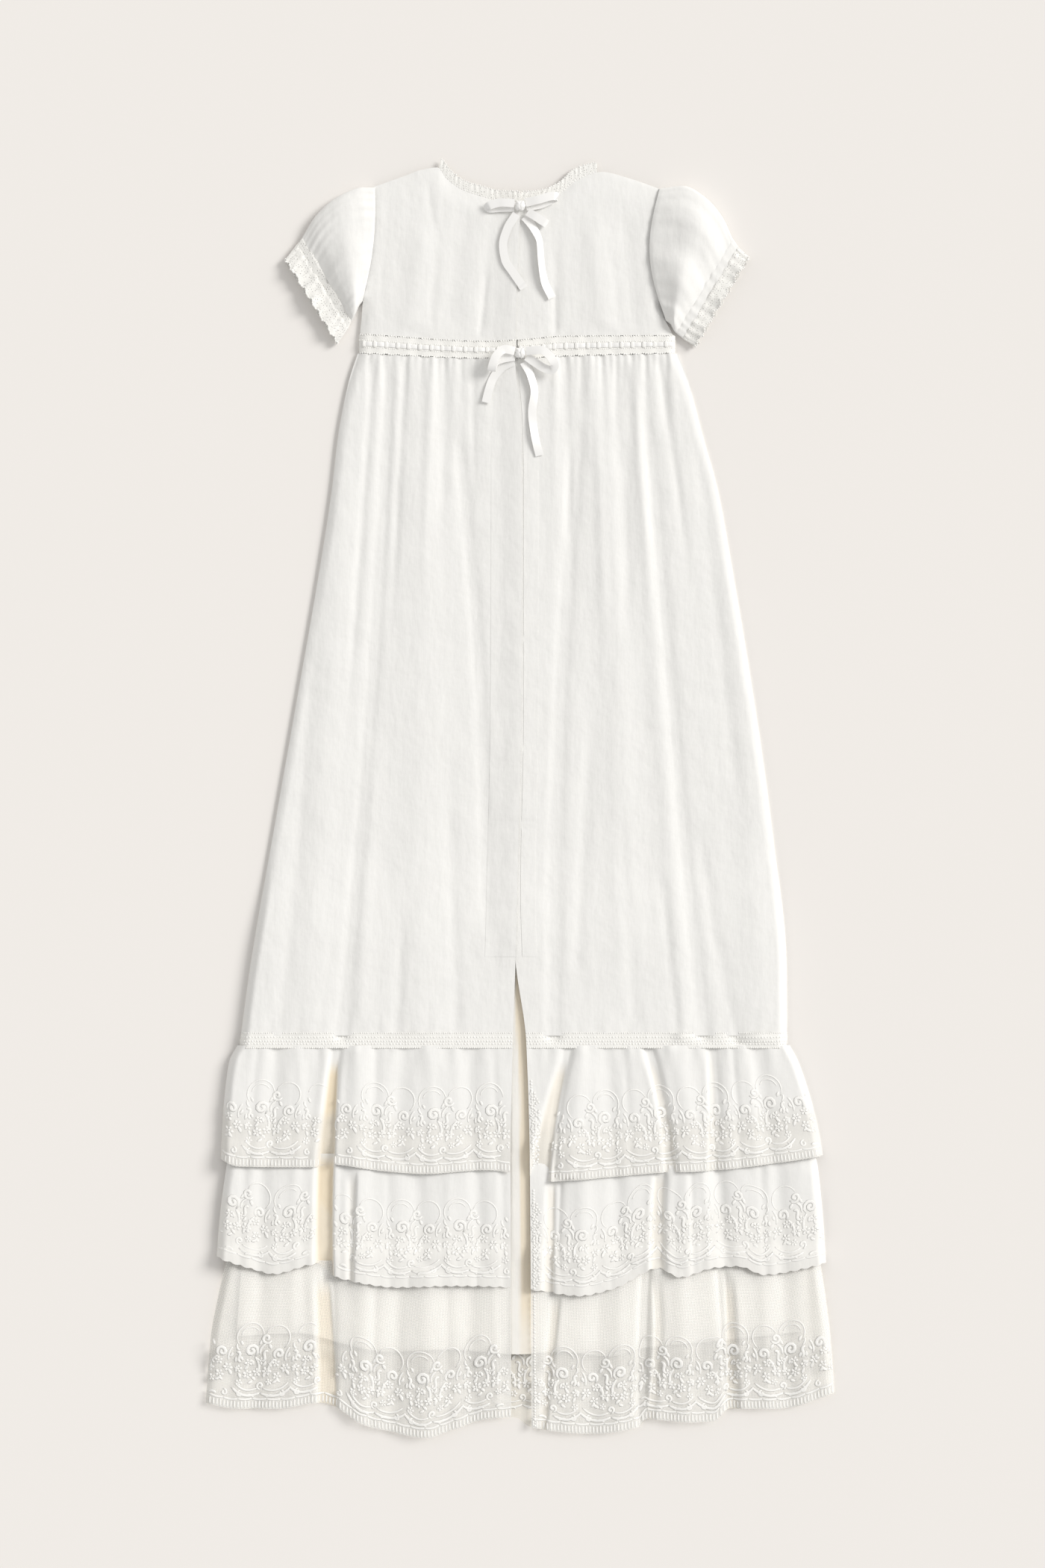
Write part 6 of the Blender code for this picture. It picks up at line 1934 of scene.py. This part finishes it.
class GownColours(bpy.types.PropertyGroup):
    """Colours of the cloth, lace, ribbon and surface, with painted shade in that of deep folds and partly in
    the net's.
    """

    cotton: bpy.props.FloatVectorProperty(
        name="Cotton", description="Ivory lawn", default=(0.911, 0.905, 0.883), subtype="COLOR",
        min=0.0, max=1.0,
    )
    lining: bpy.props.FloatVectorProperty(
        name="Lining", description="Lawn of the underskirt", default=(0.95, 0.932, 0.89), subtype="COLOR",
        min=0.0, max=1.0,
    )
    lace: bpy.props.FloatVectorProperty(
        name="Lace", description="Cotton lace", default=(0.95, 0.94, 0.905), subtype="COLOR",
        min=0.0, max=1.0,
    )
    # Partly painted shade: this beige is the net's thread and also the shadow seen through the sheer net.
    net: bpy.props.FloatVectorProperty(
        name="Net", description="Fine net", default=(0.85, 0.825, 0.765), subtype="COLOR",
        min=0.0, max=1.0,
    )
    # Painted shade: the warm dark colour that deep folds and the slit go over to, for their shade and bounced
    # light.
    deep: bpy.props.FloatVectorProperty(
        name="Deep folds", description="Lawn inside its folds", default=(0.88, 0.76, 0.57), subtype="COLOR",
        min=0.0, max=1.0,
    )
    thread: bpy.props.FloatVectorProperty(
        name="Thread", description="Embroidery thread", default=(0.98, 0.97, 0.94), subtype="COLOR",
        min=0.0, max=1.0,
    )
    satin: bpy.props.FloatVectorProperty(
        name="Satin", description="Satin ribbon", default=(0.97, 0.962, 0.945), subtype="COLOR",
        min=0.0, max=1.0,
    )
    floor: bpy.props.FloatVectorProperty(
        name="Surface", description="Surface under the gown", default=(0.90, 0.872, 0.842), subtype="COLOR",
        min=0.0, max=1.0,
    )


FINISHES = {}


def make_finishes():
    """Every finish of the gown, by name, each with the slot of the record that it belongs to.

    The tiers' columns: name, material, slot, the height above the hem from which the cloth is plain, how much
    of it the work covers below, its ripple, and how much of its ground is solid.
    """
    look = colours()
    cotton = tuple(look.cotton)
    lace = tuple(look.lace)
    made = {
        "cotton": (cotton_finish("cotton_lawn", cotton), "cotton"),
        "lining": (cotton_finish("lining_lawn", tuple(look.lining), crush=0.6), "cotton"),
        "lace": (lace_finish("cotton_lace", lace, pitch=1.9, holes=0.22), "lace"),
        "solid lace": (lace_finish("knotted_lace", lace, pitch=1.4, holes=0.0), "lace"),
        "thread": (thread_finish("embroidery_thread", tuple(look.thread)), "lace"),
        "satin": (satin_finish("satin_ribbon", tuple(look.satin)), "satin"),
    }
    for name, material, slot, solid_from, cover, ripple, ground in (
        ("tier 1", "tier_1_cloth", "cotton", 42.0, 0.9, 16.0, 0.5),
        ("tier 2", "tier_2_cloth", "cotton", 48.0, 1.0, 10.0, 0.3),
        ("tier 3", "tier_3_net", "net", 400.0, 0.42, 4.0, 0.15),
        ("tier 3 front", "tier_3_front_net", "net", 400.0, 0.6, 4.0, 1.0),
    ):
        made[name] = (tier_finish(material, cotton, solid_from, cover, ripple, ground), slot)
    for name, (finish, slot) in made.items():
        finish.slot = slot
        FINISHES[name] = finish


def finish_of(name):
    """A finish by its name, which the stage has to make first."""
    if name not in FINISHES:
        raise RuntimeError("Build the stage first, because it makes the finishes")
    return FINISHES[name]


class GOWN_OT_stage(bpy.types.Operator):
    """Makes the finishes, and sets up the camera, the light and the surface."""

    bl_idname = "gown.stage"
    bl_label = "Stage"

    def execute(self, context):
        make_finishes()
        build_stage()
        return {"FINISHED"}


class GOWN_OT_ribbon_ends(bpy.types.Operator):
    """Lays the four free ends of the two ribbons."""

    bl_idname = "gown.ribbon_ends"
    bl_label = "Ribbon ends"

    def execute(self, context):
        build_tails(finish_of("satin"))
        return {"FINISHED"}


class GOWN_OT_front(bpy.types.Operator):
    """Lays the half that the gown rests on, and the underskirt."""

    bl_idname = "gown.front"
    bl_label = "Front and underskirt"

    def execute(self, context):
        build_front_skirt(finish_of("cotton"), finish_of("solid lace"))
        build_front_tiers(finish_of("cotton"), finish_of("tier 3 front"), finish_of("thread"))
        build_underskirt(finish_of("lining"))
        build_front_bodice(finish_of("cotton"), finish_of("solid lace"))
        return {"FINISHED"}


class GOWN_OT_skirt(bpy.types.Operator):
    """Gathers the two halves of the back of the skirt, and edges them with the plackets."""

    bl_idname = "gown.skirt"
    bl_label = "Skirt"

    def execute(self, context):
        build_skirt(finish_of("cotton"))
        build_plackets(finish_of("cotton"))
        return {"FINISHED"}


class GOWN_OT_bodice(bpy.types.Operator):
    """Shapes the back of the bodice and the lace of its neck."""

    bl_idname = "gown.bodice"
    bl_label = "Bodice"

    def execute(self, context):
        build_bodice(finish_of("cotton"), finish_of("lace"), finish_of("thread"))
        return {"FINISHED"}


class GOWN_OT_sleeves(bpy.types.Operator):
    """Puffs the two sleeves and closes them with their cuffs and frills."""

    bl_idname = "gown.sleeves"
    bl_label = "Sleeves"

    def execute(self, context):
        build_sleeves(finish_of("cotton"), finish_of("lace"), finish_of("thread"))
        return {"FINISHED"}


class GOWN_OT_waist(bpy.types.Operator):
    """Sews the beading round the waist and threads its ribbon."""

    bl_idname = "gown.waist"
    bl_label = "Waist"

    def execute(self, context):
        build_waist(finish_of("solid lace"), finish_of("satin"), finish_of("thread"))
        return {"FINISHED"}


class GOWN_OT_bands(bpy.types.Operator):
    """Sets the lace insertion in below the skirt."""

    bl_idname = "gown.bands"
    bl_label = "Lace bands"

    def execute(self, context):
        build_bands(finish_of("solid lace"), finish_of("thread"))
        return {"FINISHED"}


class GOWN_OT_tiers(bpy.types.Operator):
    """Gathers the three tiers and embroiders them."""

    bl_idname = "gown.tiers"
    bl_label = "Tiers"

    def execute(self, context):
        tiers = build_tiers([finish_of(f"tier {number}") for number in (1, 2, 3)], finish_of("thread"))
        build_embroidery(tiers, finish_of("thread"))
        return {"FINISHED"}


class GOWN_OT_bows(bpy.types.Operator):
    """Ties the loops and knots of the two bows."""

    bl_idname = "gown.bows"
    bl_label = "Bows"

    def execute(self, context):
        build_bow_loops(finish_of("satin"))
        build_knots(finish_of("satin"))
        return {"FINISHED"}


STEPS_IN_ORDER = (
    GOWN_OT_stage, GOWN_OT_ribbon_ends, GOWN_OT_front, GOWN_OT_skirt, GOWN_OT_bodice, GOWN_OT_sleeves,
    GOWN_OT_waist, GOWN_OT_bands, GOWN_OT_tiers, GOWN_OT_bows,
)


class GOWN_PT_steps(bpy.types.Panel):
    """Lists the sizes, the colours and the steps of the making in the sidebar of the 3D view."""

    bl_idname = "GOWN_PT_steps"
    bl_label = "Christening gown"
    bl_space_type = "VIEW_3D"
    bl_region_type = "UI"
    bl_category = "Gown"

    def draw(self, context):
        for group in (sizes(), colours()):
            for name in group.__annotations__:
                self.layout.prop(group, name)
        for step in STEPS_IN_ORDER:
            self.layout.operator(step.bl_idname)


CLASSES = (GownSizes, GownColours) + STEPS_IN_ORDER + (GOWN_PT_steps,)


def register():
    """Adds the classes, and the sizes and colours of the scene."""
    for kind in CLASSES:
        bpy.utils.register_class(kind)
    bpy.types.Scene.gown_sizes = bpy.props.PointerProperty(type=GownSizes)
    bpy.types.Scene.gown_colours = bpy.props.PointerProperty(type=GownColours)


def unregister():
    """Takes away what register adds."""
    del bpy.types.Scene.gown_colours
    del bpy.types.Scene.gown_sizes
    for kind in reversed(CLASSES):
        bpy.utils.unregister_class(kind)


def main():
    """Builds the gown step by step."""
    register()
    bpy.ops.gown.stage()
    bpy.ops.gown.ribbon_ends()
    bpy.ops.gown.front()
    bpy.ops.gown.skirt()
    bpy.ops.gown.bodice()
    bpy.ops.gown.sleeves()
    bpy.ops.gown.waist()
    bpy.ops.gown.bands()
    bpy.ops.gown.tiers()
    bpy.ops.gown.bows()
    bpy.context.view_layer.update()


if __name__ == "__main__":
    main()
